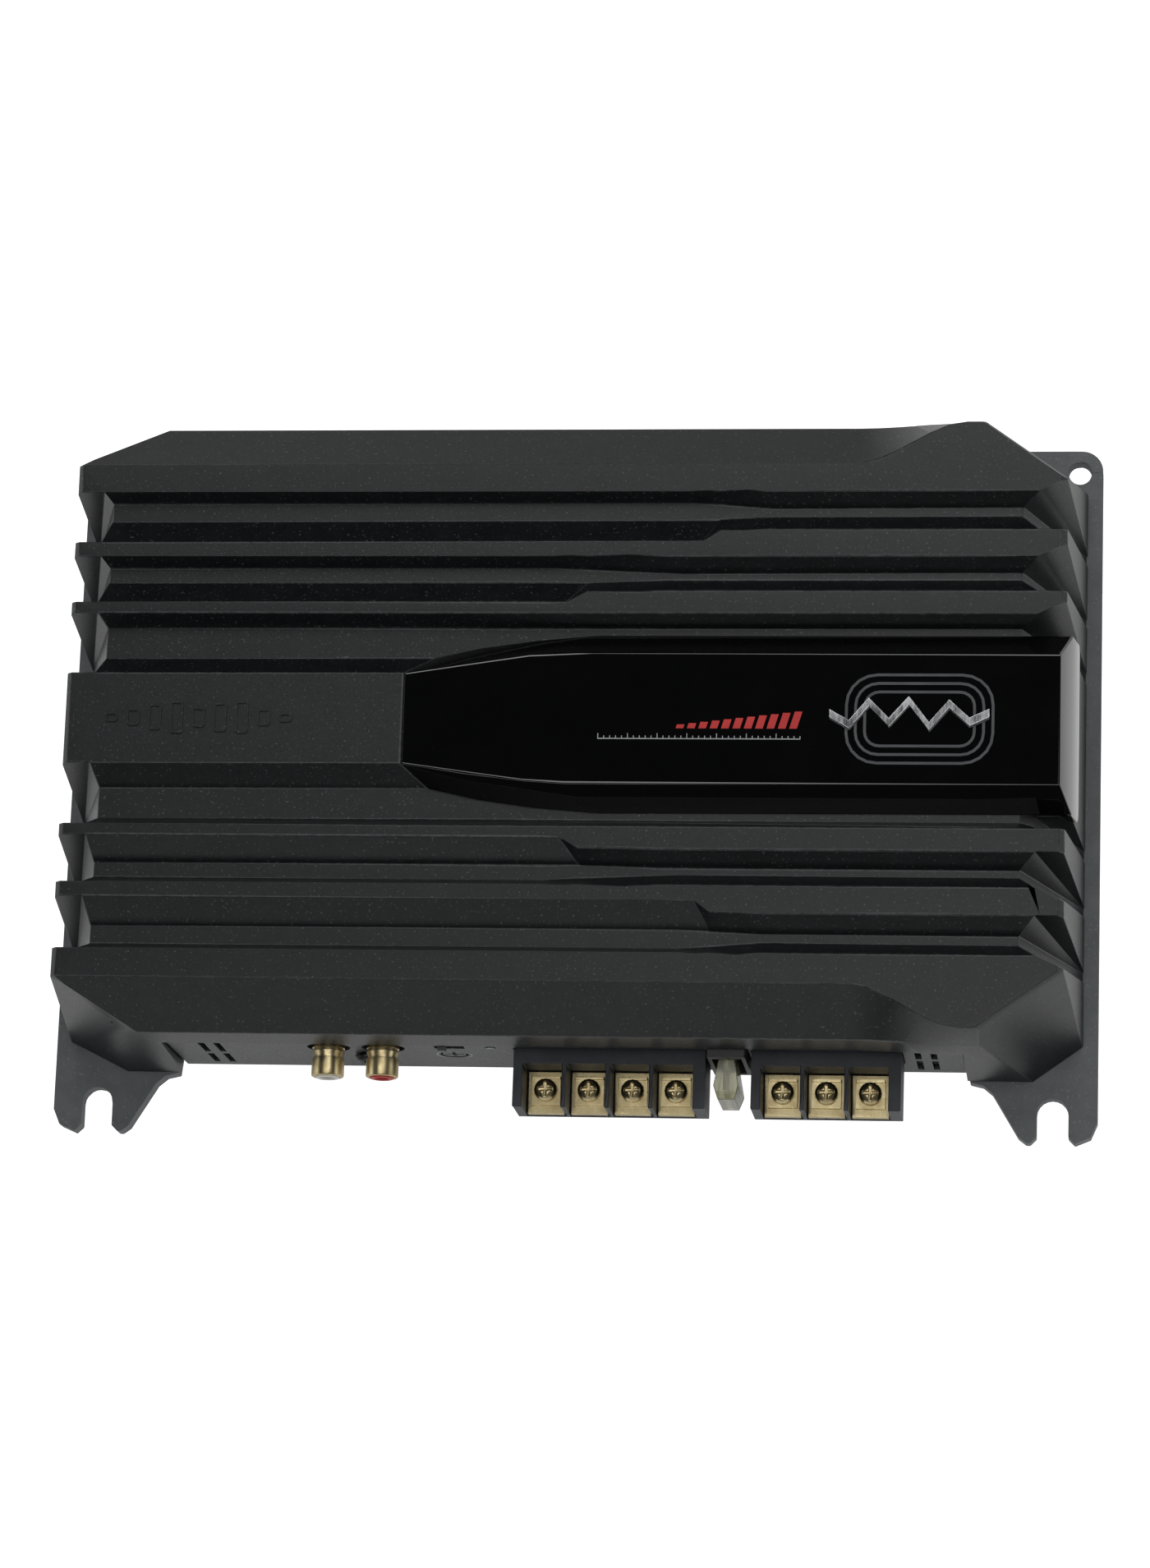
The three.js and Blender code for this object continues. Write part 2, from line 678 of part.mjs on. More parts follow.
// One front foot's outline, from the flange's end to the middle of the base
function footOutline(shape, side) {
  const r = SLOT_WIDTH / 2;
  const corner = FLANGE_CORNER * 0.3;
  const inner = SLOT_X - r;
  const points = [
    [HALF, FRONT + FLANGE_CORNER],
    [HALF - corner, FRONT + corner],
    [HALF - FLANGE_CORNER, FRONT],
    [SLOT_X + r + SLOT_LEAD, FRONT],
    [SLOT_X + r, FRONT + SLOT_LEAD],
  ];
  const steps = 10;
  for (let i = 0; i <= steps; i += 1) {
    const angle = (i / steps) * Math.PI;
    points.push([SLOT_X + r * Math.cos(angle), FRONT + SLOT_DEPTH - r + r * Math.sin(angle)]);
  }
  points.push(
    [inner, FRONT + SLOT_LEAD],
    [inner - SLOT_LEAD, FRONT],
    ...FOOT_SIDE.map(([x, y]) => [inner - x, FRONT + y]),
    [inner - FOOT_ROOT, BEHIND],
  );
  const ordered = side > 0 ? points : points.reverse();
  ordered.forEach(([x, y]) => shape.lineTo(side * x, y));
}

function flangeOutline() {
  const r = FLANGE_CORNER;
  const shape = new THREE.Shape();
  shape.moveTo(-HALF, REAR - r);
  shape.absarc(-HALF + r, REAR - r, r, Math.PI, Math.PI / 2, true);
  shape.absarc(HALF - r, REAR - r, r, Math.PI / 2, 0, true);
  footOutline(shape, 1);
  footOutline(shape, -1);
  const window = new THREE.Path();
  window.moveTo(-RING_X, -RING_Y);
  window.lineTo(RING_X, -RING_Y);
  window.lineTo(RING_X, RING_Y);
  window.lineTo(-RING_X, RING_Y);
  shape.holes.push(window);
  return shape;
}

function baseFlange() {
  const rebate = block(
    [-RING_X - REBATE, -RING_Y - REBATE, -PAST],
    [RING_X + REBATE, RING_Y + REBATE, REBATE_DEPTH],
  );
  const above = FLANGE + PAST;
  const rearHoles = [-1, 1].map((side) => (
    post(side * (HALF - REAR_HOLE_INSET), REAR - REAR_HOLE_INSET, REAR_HOLE / 2, -PAST, above)
  ));
  const headRoom = 2.4;
  const screwHoles = BOSS_PLACES.flatMap(([x, y]) => [
    post(x, y, SCREW / 2 + GAP, -PAST, above, 16),
    post(x, y, SCREW + GAP, -PAST, headRoom),
  ]);
  return cut(raise(flangeOutline(), 0, FLANGE), [rebate, ...rearHoles, ...screwHoles]);
}

add('base_flange', baseFlange(), 'base');

function bottomPlate() {
  const x = RING_X + REBATE - GAP;
  const y = RING_Y + REBATE - GAP;
  const top = PLATE_LOW_FACE + PLATE_SHEET;
  const sheet = block([-x, -y, PLATE_LOW_FACE], [x, y, top]);
  const standX = BOARD_END - STAND_INSET;
  const standRows = [STAND_FRONT_INSET - LIP, BOARD_BACK - STAND_REAR_INSET];
  const stands = standRows.flatMap((sy) => [-standX, standX].map((sx) => (
    post(sx, sy, STAND_RADIUS, top - 0.5, BOARD_Z - GAP, 16)
  )));
  return join([sheet, ...stands]);
}

add('bottom_plate', bottomPlate(), 'zinc');

function caseScrew(x, y) {
  const head = 2.1;
  const stem = SCREW / 2 - GAP;
  const tip = SEAT + 9.7;
  const body = spindle(x, y, [
    [0, 0.4], [SCREW - 0.5, 0.4], [SCREW, 0.9], [SCREW, head], [stem, head], [stem, tip], [0, tip],
  ], 20);
  return cut(body, [crossRecess(x, y, 0.2, 1.3, 1.6)]);
}

BOSS_PLACES.forEach(([x, y], i) => add(`case_screw_${i + 1}`, caseScrew(x, y), 'black_metal'));

// ---- connection panel --------------------------------------------------------

const WINDOW_HALF = (SWITCH_TRAVEL + SWITCH_KNOB) / 2 + 1;

function vents() {
  const places = [
    ...VENT_LEFT.map((inset) => OPENING_LEFT + inset),
    ...VENT_RIGHT.map((inset) => OPENING_RIGHT - inset),
  ];
  return places.flatMap((x) => VENT_ROWS.map(([low, high]) => ({
    x,
    z: (low + high) / 2,
    halfX: VENT_WIDTH / 2,
    halfZ: (high - low) / 2,
  })));
}

// The rectangular holes in the panel, by middle and half sizes
function panelWindows() {
  const blockHeight = BLOCK_TOP - BLOCK_FOOT;
  return [
    ...vents(),
    { x: SWITCH_X, z: SWITCH_Z, halfX: WINDOW_HALF, halfZ: SWITCH_WINDOW / 2 },
    { x: LENS_X, z: LENS_Z, halfX: LENS[0] / 2 + GAP, halfZ: LENS[1] / 2 + GAP },
    { x: FUSE_X, z: FUSE_Z, halfX: SOCKET_HALF_X + GAP, halfZ: SOCKET_HALF_Z + GAP },
    ...BLOCKS.map(({ x, cells }) => ({
      x: x + blockWidth(cells) / 2,
      z: BLOCK_FOOT + blockHeight / 2,
      halfX: blockWidth(cells) / 2 + GAP,
      halfZ: blockHeight / 2 + GAP,
    })),
  ];
}

function connectionPanel() {
  const left = OPENING_LEFT + PANEL_MARGIN;
  const right = OPENING_RIGHT - PANEL_MARGIN;
  const sheet = block([left, PANEL_FRONT, PANEL_FOOT], [right, PANEL_BACK, OPENING_TOP - PANEL_TOP_MARGIN]);
  const shelfLow = SEAT + 0.2;
  const shelf = block(
    [left + 1, PANEL_FRONT + 0.2, shelfLow],
    [right - 1, PANEL_BACK + SHELF_REACH, shelfLow + SHELF_THICK],
  );
  const front = PANEL_FRONT - PAST;
  const back = PANEL_BACK + PAST;
  return cut(join([sheet, shelf]), [
    ...panelWindows().map(({ x, z, halfX, halfZ }) => bar(x, z, halfX, halfZ, front, PANEL_BACK + 0.6)),
    ...JACKS.map(({ x }) => rod(x, JACK_Z, JACK_RADIUS + JACK_CLEARANCE, front, back)),
    rod(JACK_SCREW_X, JACK_SCREW_Z, SCREW / 2 + GAP, front, back),
    rod(LEVEL_X, LEVEL_Z, LEVEL_RADIUS + LEVEL_CLEARANCE, front, back),
  ]);
}

add('connection_panel', connectionPanel(), 'panel');

// ---- input jacks --------------------------------------------------------------

const JACK_MOUTH = PANEL_FRONT - JACK_REACH;
const JACK_SEAT = BEHIND + GAP;
const JACK_LENGTH = JACK_SEAT - GAP - JACK_MOUTH;

// A ring round a jack's axis: profile of [radius, distance behind the mouth]
function jackRing(x, profile, sides) {
  return solid(turn(profile, sides), at(x, JACK_MOUTH, JACK_Z));
}

// A plain sleeve between two radii, set back from the mouth
function jackSleeve(x, inner, outer, back, sides) {
  return jackRing(x, [
    [inner, back], [outer, back], [outer, JACK_LENGTH], [inner, JACK_LENGTH], [inner, back],
  ], sides);
}

// The shell, with a groove round it near the panel
function jackShell(x) {
  const inner = JACK_RADIUS - JACK_SHELL;
  const neck = JACK_RADIUS - 0.45;
  const groove = JACK_REACH - 1.9;
  return jackRing(x, [
    [inner, 0], [JACK_RADIUS - 0.3, 0], [JACK_RADIUS, 0.4], [JACK_RADIUS, groove],
    [neck, groove + 0.2], [neck, groove + 0.9],
    [JACK_RADIUS, groove + 1.1], [JACK_RADIUS, JACK_LENGTH], [inner, JACK_LENGTH], [inner, 0],
  ], 28);
}

for (const { side, x, insulator } of JACKS) {
  const contact = JACK_PIN_HOLE + JACK_CONTACT;
  const sleeve = JACK_RADIUS - JACK_SHELL - GAP;
  add(`jack_shell_${side}`, jackShell(x), 'gold');
  add(`jack_insulator_${side}`, jackSleeve(x, contact + GAP, sleeve, 0.5, 24), insulator);
  add(`jack_contact_${side}`, jackSleeve(x, JACK_PIN_HOLE, contact, 1.2, 16), 'gold');
}

function jackHousing() {
  const side = 7;
  const depth = 12;
  const body = block(
    [JACK_X - side, JACK_SEAT, BOARD_TOP + GAP],
    [JACK_X + JACK_PITCH + side, JACK_SEAT + depth, JACK_Z + side - 0.5],
  );
  return cut(body, [rod(JACK_SCREW_X, JACK_SCREW_Z, SCREW / 2, JACK_SEAT - PAST, JACK_SEAT + 8, 16)]);
}

add('jack_housing', jackHousing(), 'black');

// Pan-head screw along +Y whose head bears on the panel
function panelScrew() {
  const start = PANEL_FRONT - GAP;
  const stem = SCREW / 2 - GAP;
  const length = 8.4;
  const body = solid(turn([
    [0, -2.1], [1.5, -2], [SCREW - 0.5, -1.5], [SCREW, -0.6], [SCREW, 0],
    [stem, 0], [stem, length], [0, length],
  ], 24), at(JACK_SCREW_X, start, JACK_SCREW_Z));
  const arm = 1.7;
  const half = 0.4;
  const floor = start - 0.9;
  return cut(body, [
    bar(JACK_SCREW_X, JACK_SCREW_Z, arm, half, start - 3, floor),
    bar(JACK_SCREW_X, JACK_SCREW_Z, half, arm, start - 3, floor),
  ]);
}

add('jack_screw', panelScrew(), 'black_metal');

// ---- filter switch, level control and indicator --------------------------------

const SLIDE_HALF = SWITCH_KNOB / 2 + 0.9;        // half length of the slider's foot
const POCKET_HALF = SLIDE_HALF + SWITCH_TRAVEL / 2 + 0.4;

function switchBody() {
  const wall = 0.9;
  const body = bar(SWITCH_X, SWITCH_Z, POCKET_HALF + wall, 3.2, BEHIND, BEHIND + 6.5);
  const pocket = bar(SWITCH_X, SWITCH_Z, POCKET_HALF, SWITCH_WINDOW / 2, BEHIND - PAST, BEHIND + 3.2);
  return cut(body, [pocket]);
}

add('switch_body', switchBody(), 'black');

// The slider rests at the left end of its window
function switchSlider() {
  const x = SWITCH_X - SWITCH_TRAVEL / 2;
  const half = SWITCH_WINDOW / 2 - 0.35;
  return join([
    bar(x, SWITCH_Z, SLIDE_HALF, half, BEHIND + 0.2, BEHIND + 2.8),
    bar(x, SWITCH_Z, SWITCH_KNOB / 2, half - GAP, PANEL_FRONT - 1.1, BEHIND + 0.4),
  ]);
}

add('switch_slider', switchSlider(), 'black');

const LEVEL_DEPTH = 4.6;                         // rotor behind the panel

function levelBody() {
  const half = LEVEL_RADIUS + 2.3;
  const body = bar(LEVEL_X, LEVEL_Z, half, half, BEHIND, BEHIND + 8);
  const bore = rod(LEVEL_X, LEVEL_Z, LEVEL_RADIUS + GAP, BEHIND - PAST, BEHIND + LEVEL_DEPTH + 0.4, 28);
  return cut(body, [bore]);
}

add('level_body', levelBody(), 'black');

// A slotted rotor with a pointer notch at its rim
function levelRotor() {
  const front = PANEL_FRONT + 0.1;
  const ahead = front - PAST;
  const arm = LEVEL_RADIUS - 0.8;
  const half = 0.45;
  const slotDepth = 1.1;
  const rotor = rod(LEVEL_X, LEVEL_Z, LEVEL_RADIUS, front, BEHIND + LEVEL_DEPTH, 28);
  return cut(rotor, [
    bar(LEVEL_X, LEVEL_Z, half, arm, ahead, front + slotDepth),
    bar(LEVEL_X, LEVEL_Z, arm, half, ahead, front + slotDepth),
    bar(LEVEL_X, LEVEL_Z + LEVEL_RADIUS + 0.15, GAP, 0.75, ahead, front + 0.4),
  ]);
}

add('level_rotor', levelRotor(), 'white');

const lens = bar(LENS_X, LENS_Z, LENS[0] / 2, LENS[1] / 2, PANEL_FRONT - 0.2, BEHIND + 5);
add('indicator_lens', lens, 'lens');

// ---- terminal blocks -----------------------------------------------------------

const PLATE_LOW = BLOCK_FOOT + BLOCK_FLOOR + GAP;
const PLATE_TOP = PLATE_LOW + PLATE_THICK;
const WASHER_LOW = PLATE_TOP + GAP;
const WASHER_TOP = WASHER_LOW + WASHER_THICK;
const SILL_Z = BLOCK_FOOT + 1;                   // floor of the notch for the fold

function cellMiddle(x, i) {
  return x + BLOCK_SIDE_LEFT + CELL / 2 + i * PITCH;
}

function terminalBlock({ x, cells }) {
  const width = blockWidth(cells);
  const body = block([x, BLOCK_FRONT, BLOCK_FOOT], [x + width, PANEL_BACK + BLOCK_BEHIND, BLOCK_TOP]);
  const tools = [];
  for (let i = 0; i < cells; i += 1) {
    const middle = cellMiddle(x, i);
    const low = middle - CELL / 2;
    const high = middle + CELL / 2;
    const front = BLOCK_FRONT - PAST;
    const above = BLOCK_TOP + PAST;
    tools.push(
      block([low, front, BLOCK_FOOT + BLOCK_FLOOR], [high, CELLS_BACK, above]),
      block([low, front, SILL_Z], [high, BLOCK_FRONT + BLOCK_SILL, above]),
      post(middle, SCREW_Y, TERMINAL_SCREW / 2 + TERMINAL_HOLE, BLOCK_FOOT - PAST, PLATE_LOW, 16),
    );
  }
  return cut(body, tools);
}

// A stamped contact plate with its front edge folded down
function terminalPlate(middle) {
  const half = CELL / 2 - 0.35;
  const front = BLOCK_FRONT + 0.2;
  const flat = block([middle - half, front, PLATE_LOW], [middle + half, CELLS_BACK - GAP, PLATE_TOP]);
  const fold = block([middle - half, front, SILL_Z + GAP], [middle + half, front + PLATE_THICK, PLATE_TOP]);
  const hole = post(middle, SCREW_Y, TERMINAL_SCREW / 2 + TERMINAL_HOLE, 0, BLOCK_TOP, 16);
  return cut(flat.add(fold), [hole]);
}

// A square washer with a low lip along its rear edge
function terminalWasher(middle) {
  const half = WASHER / 2;
  const back = SCREW_Y + half;
  const plate = block([middle - half, SCREW_Y - half, WASHER_LOW], [middle + half, back, WASHER_TOP]);
  const lip = block(
    [middle - half, back - WASHER_THICK, WASHER_LOW],
    [middle + half, back, WASHER_TOP + WASHER_LIP],
  );
  return cut(plate.add(lip), [post(middle, SCREW_Y, TERMINAL_SCREW / 2 + GAP, 0, BLOCK_TOP, 16)]);
}

function terminalScrew(middle) {
  const r = TERMINAL_HEAD / 2;
  const stem = TERMINAL_SCREW / 2;
  const low = WASHER_TOP + GAP;
  const tip = BLOCK_FOOT + 0.6;
  const body = spindle(middle, SCREW_Y, [
    [0, tip], [stem - 0.3, tip], [stem, tip + 0.3], [stem, low],
    [r, low], [r, low + 1.3], [r - 0.5, low + 2.1], [r - 1.5, low + 2.6], [0, low + 2.8],
  ], 16);
  return cut(body, [crossRecess(middle, SCREW_Y, low + 1.3, low + 4, r - 1)]);
}

let terminal = 0;
for (const kind of BLOCKS) {
  add(`${kind.name}_terminal_block`, terminalBlock(kind), 'blue_black');
  for (let i = 0; i < kind.cells; i += 1) {
    terminal += 1;
    const middle = cellMiddle(kind.x, i);
    add(`terminal_plate_${terminal}`, terminalPlate(middle), 'gold');
    add(`terminal_washer_${terminal}`, terminalWasher(middle), 'gold');
    add(`terminal_screw_${terminal}`, terminalScrew(middle), 'gold');
  }
}

// ---- fuse -----------------------------------------------------------------------

const FUSE_HALF_Z = FUSE_WIDTH / 2;
const FUSE_END = PANEL_FRONT - FUSE_REACH;
const FUSE_BACK = PANEL_FRONT + FUSE_SEAT;
const BLADE_START = FUSE_END + 4.2;

function fuseSocket() {
  const outer = bar(
    FUSE_X, FUSE_Z, SOCKET_HALF_X, SOCKET_HALF_Z, PANEL_FRONT - SOCKET_REACH, PANEL_FRONT + SOCKET_DEPTH,
  );
  const room = 0.5;                              // round the fuse in its socket
  const throat = bar(
    FUSE_X, FUSE_Z, FUSE_GRIP / 2 + room, FUSE_HALF_Z + room + 0.1,
    PANEL_FRONT - SOCKET_REACH - PAST, FUSE_BACK + room,
  );
  const wayX = FUSE_BLADE_THICK / 2 + 0.55;
  const wayZ = FUSE_BLADE / 2 + 0.6;
  const ways = [-1, 1].map((side) => {
    const z = FUSE_Z + side * (FUSE_BLADE_SPACING / 2 + GAP);
    return bar(FUSE_X, z, wayX, wayZ, FUSE_BACK, FUSE_BACK + FUSE_BLADE_REACH + 1.2);
  });
  return cut(outer, [throat, ...ways]);
}

add('fuse_socket', fuseSocket(), 'black');

// The clear body: a thin neck in the socket, a thicker grip and a sloped crown
function fuseBody() {
  const neckEnd = PANEL_FRONT - 1.5;
  const gripEnd = PANEL_FRONT - 9.5;
  const crown = 1.1;
  const wall = 0.6;
  const section = (y, halfX, halfZ) => [-1, 1].flatMap((sx) => (
    [-1, 1].map((sz) => [FUSE_X + sx * halfX, y, FUSE_Z + sz * halfZ])
  ));
  const neck = hull([
    ...section(FUSE_BACK, FUSE_NECK / 2, FUSE_HALF_Z),
    ...section(neckEnd, FUSE_NECK / 2, FUSE_HALF_Z),
  ]);
  const grip = hull([
    ...section(neckEnd, FUSE_NECK / 2, FUSE_HALF_Z),
    ...section(gripEnd, FUSE_GRIP / 2, FUSE_HALF_Z),
    ...section(FUSE_END, FUSE_GRIP / 2 - crown, FUSE_HALF_Z - 1.6),
  ]);
  const roomX = FUSE_BLADE_THICK / 2 + 0.4;
  const room = bar(FUSE_X, FUSE_Z, roomX, FUSE_HALF_Z - wall, FUSE_END + 2.2, FUSE_BACK + PAST);
  return neck.add(grip).subtract(room);
}

add('fuse_body', fuseBody(), 'clear');

// The stamped element: two blades joined by the link inside the clear body
function fuseElement() {
  const half = FUSE_BLADE_THICK / 2;
  const linkDepth = 2.2;
  const linkHalf = (FUSE_BLADE_SPACING + FUSE_BLADE) / 2;
  const link = bar(FUSE_X, FUSE_Z, half, linkHalf, BLADE_START, BLADE_START + linkDepth);
  const blades = [-1, 1].map((side) => bar(
    FUSE_X, FUSE_Z + side * (FUSE_BLADE_SPACING / 2), half, FUSE_BLADE / 2,
    BLADE_START, FUSE_BACK + FUSE_BLADE_REACH,
  ));
  return join([link, ...blades]);
}

add('fuse_element', fuseElement(), 'zinc');

// ---- inside: board, transformer, capacitors, transistors --------------------------

const ON_BOARD = BOARD_TOP + GAP;
const circuitBoard = block(
  [-BOARD_END, PANEL_BACK + BOARD_FRONT_GAP, BOARD_Z],
  [BOARD_END, BOARD_BACK, BOARD_TOP],
);
add('circuit_board', circuitBoard, 'board');

function toroid({ x, y, inner, outer, height, corner }) {
  const low = ON_BOARD;
  const high = low + height;
  return spindle(x, y, [
    [inner, low + corner], [inner + 2, low], [outer - corner, low], [outer, low + corner],
    [outer, high - corner], [outer - corner, high], [inner + 2, high], [inner, high - corner],
    [inner, low + corner],
  ], 32);
}

add('transformer_core', toroid(TOROID), 'copper');

function capacitor(x, y) {
  const { radius, height, corner } = CAPACITOR;
  const high = ON_BOARD + height;
  return spindle(x, y, [
    [0, ON_BOARD], [radius - corner, ON_BOARD], [radius, ON_BOARD + corner],
    [radius, high - corner], [radius - corner, high], [0, high],
  ], 28);
}

CAPACITORS.forEach(([x, y], i) => add(`capacitor_${i + 1}`, capacitor(x, y), 'sleeve'));

// Power transistors lie flat against the cover, held by a bar
const TRANSISTOR_LOW = CEILING - GAP - TRANSISTOR.thick;
TRANSISTORS.forEach((x, i) => {
  const half = TRANSISTOR.width / 2;
  const deep = TRANSISTOR.depth / 2;
  const body = block(
    [x - half, TRANSISTOR_Y - deep, TRANSISTOR_LOW],
    [x + half, TRANSISTOR_Y + deep, CEILING - GAP],
  );
  add(`power_transistor_${i + 1}`, body, 'black');
});

const CLAMP_TOP = TRANSISTOR_LOW - GAP;
const clampBar = block(
  [CLAMP.left, TRANSISTOR_Y - CLAMP.depth / 2, CLAMP_TOP - CLAMP.thick],
  [CLAMP.right, TRANSISTOR_Y + CLAMP.depth / 2, CLAMP_TOP],
);
add('transistor_bar', clampBar, 'zinc');

// The origin moves to the middle of the whole footprint
group.position.y = -(REAR + FRONT) / 2;

export default group;
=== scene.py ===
import math

import bmesh
import bpy
from mathutils import Matrix, Vector


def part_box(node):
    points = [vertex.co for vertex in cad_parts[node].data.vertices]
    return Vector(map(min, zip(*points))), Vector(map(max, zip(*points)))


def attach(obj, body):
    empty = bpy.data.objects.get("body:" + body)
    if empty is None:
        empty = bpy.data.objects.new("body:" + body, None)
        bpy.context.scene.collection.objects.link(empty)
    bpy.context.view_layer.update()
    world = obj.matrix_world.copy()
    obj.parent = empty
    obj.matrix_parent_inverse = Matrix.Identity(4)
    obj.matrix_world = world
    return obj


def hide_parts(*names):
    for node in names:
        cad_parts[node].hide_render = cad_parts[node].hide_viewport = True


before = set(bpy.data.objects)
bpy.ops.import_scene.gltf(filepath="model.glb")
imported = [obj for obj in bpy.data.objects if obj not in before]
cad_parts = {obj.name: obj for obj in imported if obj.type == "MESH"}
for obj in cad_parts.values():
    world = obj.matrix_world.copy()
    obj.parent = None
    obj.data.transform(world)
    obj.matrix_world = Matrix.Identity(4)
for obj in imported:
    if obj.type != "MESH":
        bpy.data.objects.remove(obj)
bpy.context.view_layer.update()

# ---- Base flange ----------------------------------------------------------------
# A die-cast aluminium ring under a dark grey powder coat. It carries the two slotted
# front feet and the two rear holes, and the cover is screwed down on it from below.

MM = 0.001
WELD = 0.02 * MM
CREASE = math.radians(28)
STILL_SHARP = math.radians(40)
COAT_GRAIN = 2600
CLOUD_SIZE = 170
FLECK_SIZE = 1500
CHIP_SIZE = 420
COAT_RELIEF = 0.022 * MM


def placed(name, mesh_work, body, look, stands_for=()):
    """Makes the piece from its mesh work, with its finish, and fixes it to a body."""
    mesh = bpy.data.meshes.new(name)
    mesh_work.to_mesh(mesh)
    mesh_work.free()
    mesh.materials.append(look)
    piece = bpy.data.objects.new(name, mesh)
    bpy.context.scene.collection.objects.link(piece)
    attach(piece, body)
    if stands_for:
        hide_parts(*stands_for)
    return piece


def eased_copy(name, node, body, look, radius, steps=2):
    """The node's own shape with the small radius that its edges have when made."""
    skin = bmesh.new()
    skin.from_mesh(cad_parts[node].data)
    bmesh.ops.remove_doubles(skin, verts=skin.verts[:], dist=WELD)
    arrises = [e for e in skin.edges if e.calc_face_angle(0) > CREASE]
    made = bmesh.ops.bevel(
        skin,
        geom=arrises,
        offset=radius,
        offset_type="ABSOLUTE",
        segments=steps,
        profile=0.5,
        affect="EDGES",
        clamp_overlap=False,
        material=-1,
    )
    rounded = set(made["faces"])
    # Marks the vertices inside rounded convex edges. The coat and moulding finishes paint them
    # lighter, partly as rubbed wear and partly as a painted highlight; the plating keeps them
    # free of tarnish.
    rub_and_highlight = skin.verts.layers.float.new("rub_and_highlight")
    for v in skin.verts:
        inside = all(f in rounded for f in v.link_faces)
        v[rub_and_highlight] = float(inside and any(e.is_convex for e in v.link_edges))
    for f in skin.faces:
        f.smooth = True
    for e in skin.edges:
        e.smooth = e.calc_face_angle(0) < STILL_SHARP
    piece = placed(name, skin, body, look, [node])
    shading = piece.modifiers.new("face weighted normals", "WEIGHTED_NORMAL")
    shading.keep_sharp = True
    return piece


def add(tree, kind, inputs=(), **settings):
    """One shader node, with its settings and what feeds its sockets."""
    made = tree.nodes.new("ShaderNode" + kind)
    for key, value in settings.items():
        setattr(made, key, value)
    for key, value in dict(inputs).items():
        if isinstance(value, bpy.types.NodeSocket):
            tree.links.new(value, made.inputs[key])
        else:
            made.inputs[key].default_value = value
    return made


def mixed(tree, share, low, high):
    """The colour between low and high."""
    made = add(tree, "Mix", {0: share, 6: low, 7: high}, data_type="RGBA")
    return made.outputs[2]


def spread(tree, value, low, high, to_low=0.0, to_high=1.0):
    """Stretches a value's part between low and high, and cuts off the rest."""
    ends = {"Value": value, "From Min": low, "From Max": high}
    made = add(tree, "MapRange", {**ends, "To Min": to_low, "To Max": to_high})
    return made.outputs["Result"]


def product(tree, one, other):
    """One value times the other."""
    made = add(tree, "Math", {0: one, 1: other}, operation="MULTIPLY")
    return made.outputs[0]


def total(tree, one, other):
    """The two values added."""
    made = add(tree, "Math", {0: one, 1: other}, operation="ADD")
    return made.outputs[0]


def noise(tree, place, size, detail=2.0, roughness=0.5):
    """Cloudy noise over the piece. A larger size number gives finer grain."""
    made = add(
        tree,
        "TexNoise",
        {"Vector": place, "Scale": size, "Detail": detail, "Roughness": roughness},
    )
    return made.outputs["Fac"]


def new_effect(name, colours, numbers):
    """An empty node group that puts out a colour, a roughness and a height."""
    tree = bpy.data.node_groups.new(name, "ShaderNodeTree")
    for label in colours:
        tree.interface.new_socket(label, in_out="INPUT", socket_type="NodeSocketColor")
    for label in numbers:
        tree.interface.new_socket(label, in_out="INPUT", socket_type="NodeSocketFloat")
    tree.interface.new_socket("Colour", in_out="OUTPUT", socket_type="NodeSocketColor")
    for label in ("Roughness", "Height"):
        tree.interface.new_socket(label, in_out="OUTPUT", socket_type="NodeSocketFloat")
    given = tree.nodes.new("NodeGroupInput").outputs
    out = tree.nodes.new("NodeGroupOutput").inputs
    place = tree.nodes.new("ShaderNodeTexCoord").outputs["Object"]
    return tree, given, out, place


def powder_coat():
    """Matt powder coat: cloudy, with light flecks, fine grain, and rounded edges painted lighter:
    partly rubbed wear, partly a painted highlight.
    """
    tree, given, out, place = new_effect(
        "powder coat", ("Paint", "Cloud", "Fleck", "Rub and highlight"), ("Grain", "Satin", "Wear and highlight")
    )
    grain = noise(tree, place, given["Grain"], 3.0, 0.6)
    clouds = spread(tree, noise(tree, place, CLOUD_SIZE, 5.0, 0.65), 0.36, 0.66)
    flecks = spread(tree, noise(tree, place, FLECK_SIZE, 1.0, 0.4), 0.66, 0.76)
    broken = spread(tree, noise(tree, place, CHIP_SIZE, 4.0, 0.7), 0.38, 0.6, 0.25, 1.0)
    # The rounded edges are painted lighter, broken up by chips: partly rubbed wear, partly a
    # painted highlight where the edges catch the light.
    edge = add(tree, "Attribute", attribute_name="rub_and_highlight").outputs["Fac"]
    worn_and_highlit = product(tree, product(tree, edge, broken), given["Wear and highlight"])
    coat = mixed(tree, clouds, given["Paint"], given["Cloud"])
    coat = mixed(tree, product(tree, flecks, 0.8), coat, given["Fleck"])
    tree.links.new(mixed(tree, worn_and_highlit, coat, given["Rub and highlight"]), out["Colour"])
    uneven = total(tree, given["Satin"], spread(tree, grain, 0.3, 0.7, -0.05, 0.07))
    tree.links.new(uneven, out["Roughness"])
    tree.links.new(total(tree, grain, product(tree, flecks, 0.6)), out["Height"])
    return tree


POWDER_COAT = powder_coat()


def finished(name, effect, values, relief, metal=0.0, **sockets):
    """A material: the effect with its own values, on a Principled shader."""
    look = bpy.data.materials.new(name)
    look.use_nodes = True
    tree = look.node_tree
    shader = tree.nodes["Principled BSDF"]
    surface = add(tree, "Group", node_tree=effect)
    for label, value in values.items():
        surface.inputs[label].default_value = value
    tree.links.new(surface.outputs["Colour"], shader.inputs["Base Color"])
    tree.links.new(surface.outputs["Roughness"], shader.inputs["Roughness"])
    bump = add(tree, "Bump", {"Height": surface.outputs["Height"], "Distance": relief})
    tree.links.new(bump.outputs["Normal"], shader.inputs["Normal"])
    shader.inputs["Metallic"].default_value = metal
    for label, value in sockets.items():
        shader.inputs[label.replace("_", " ")].default_value = value
    return look


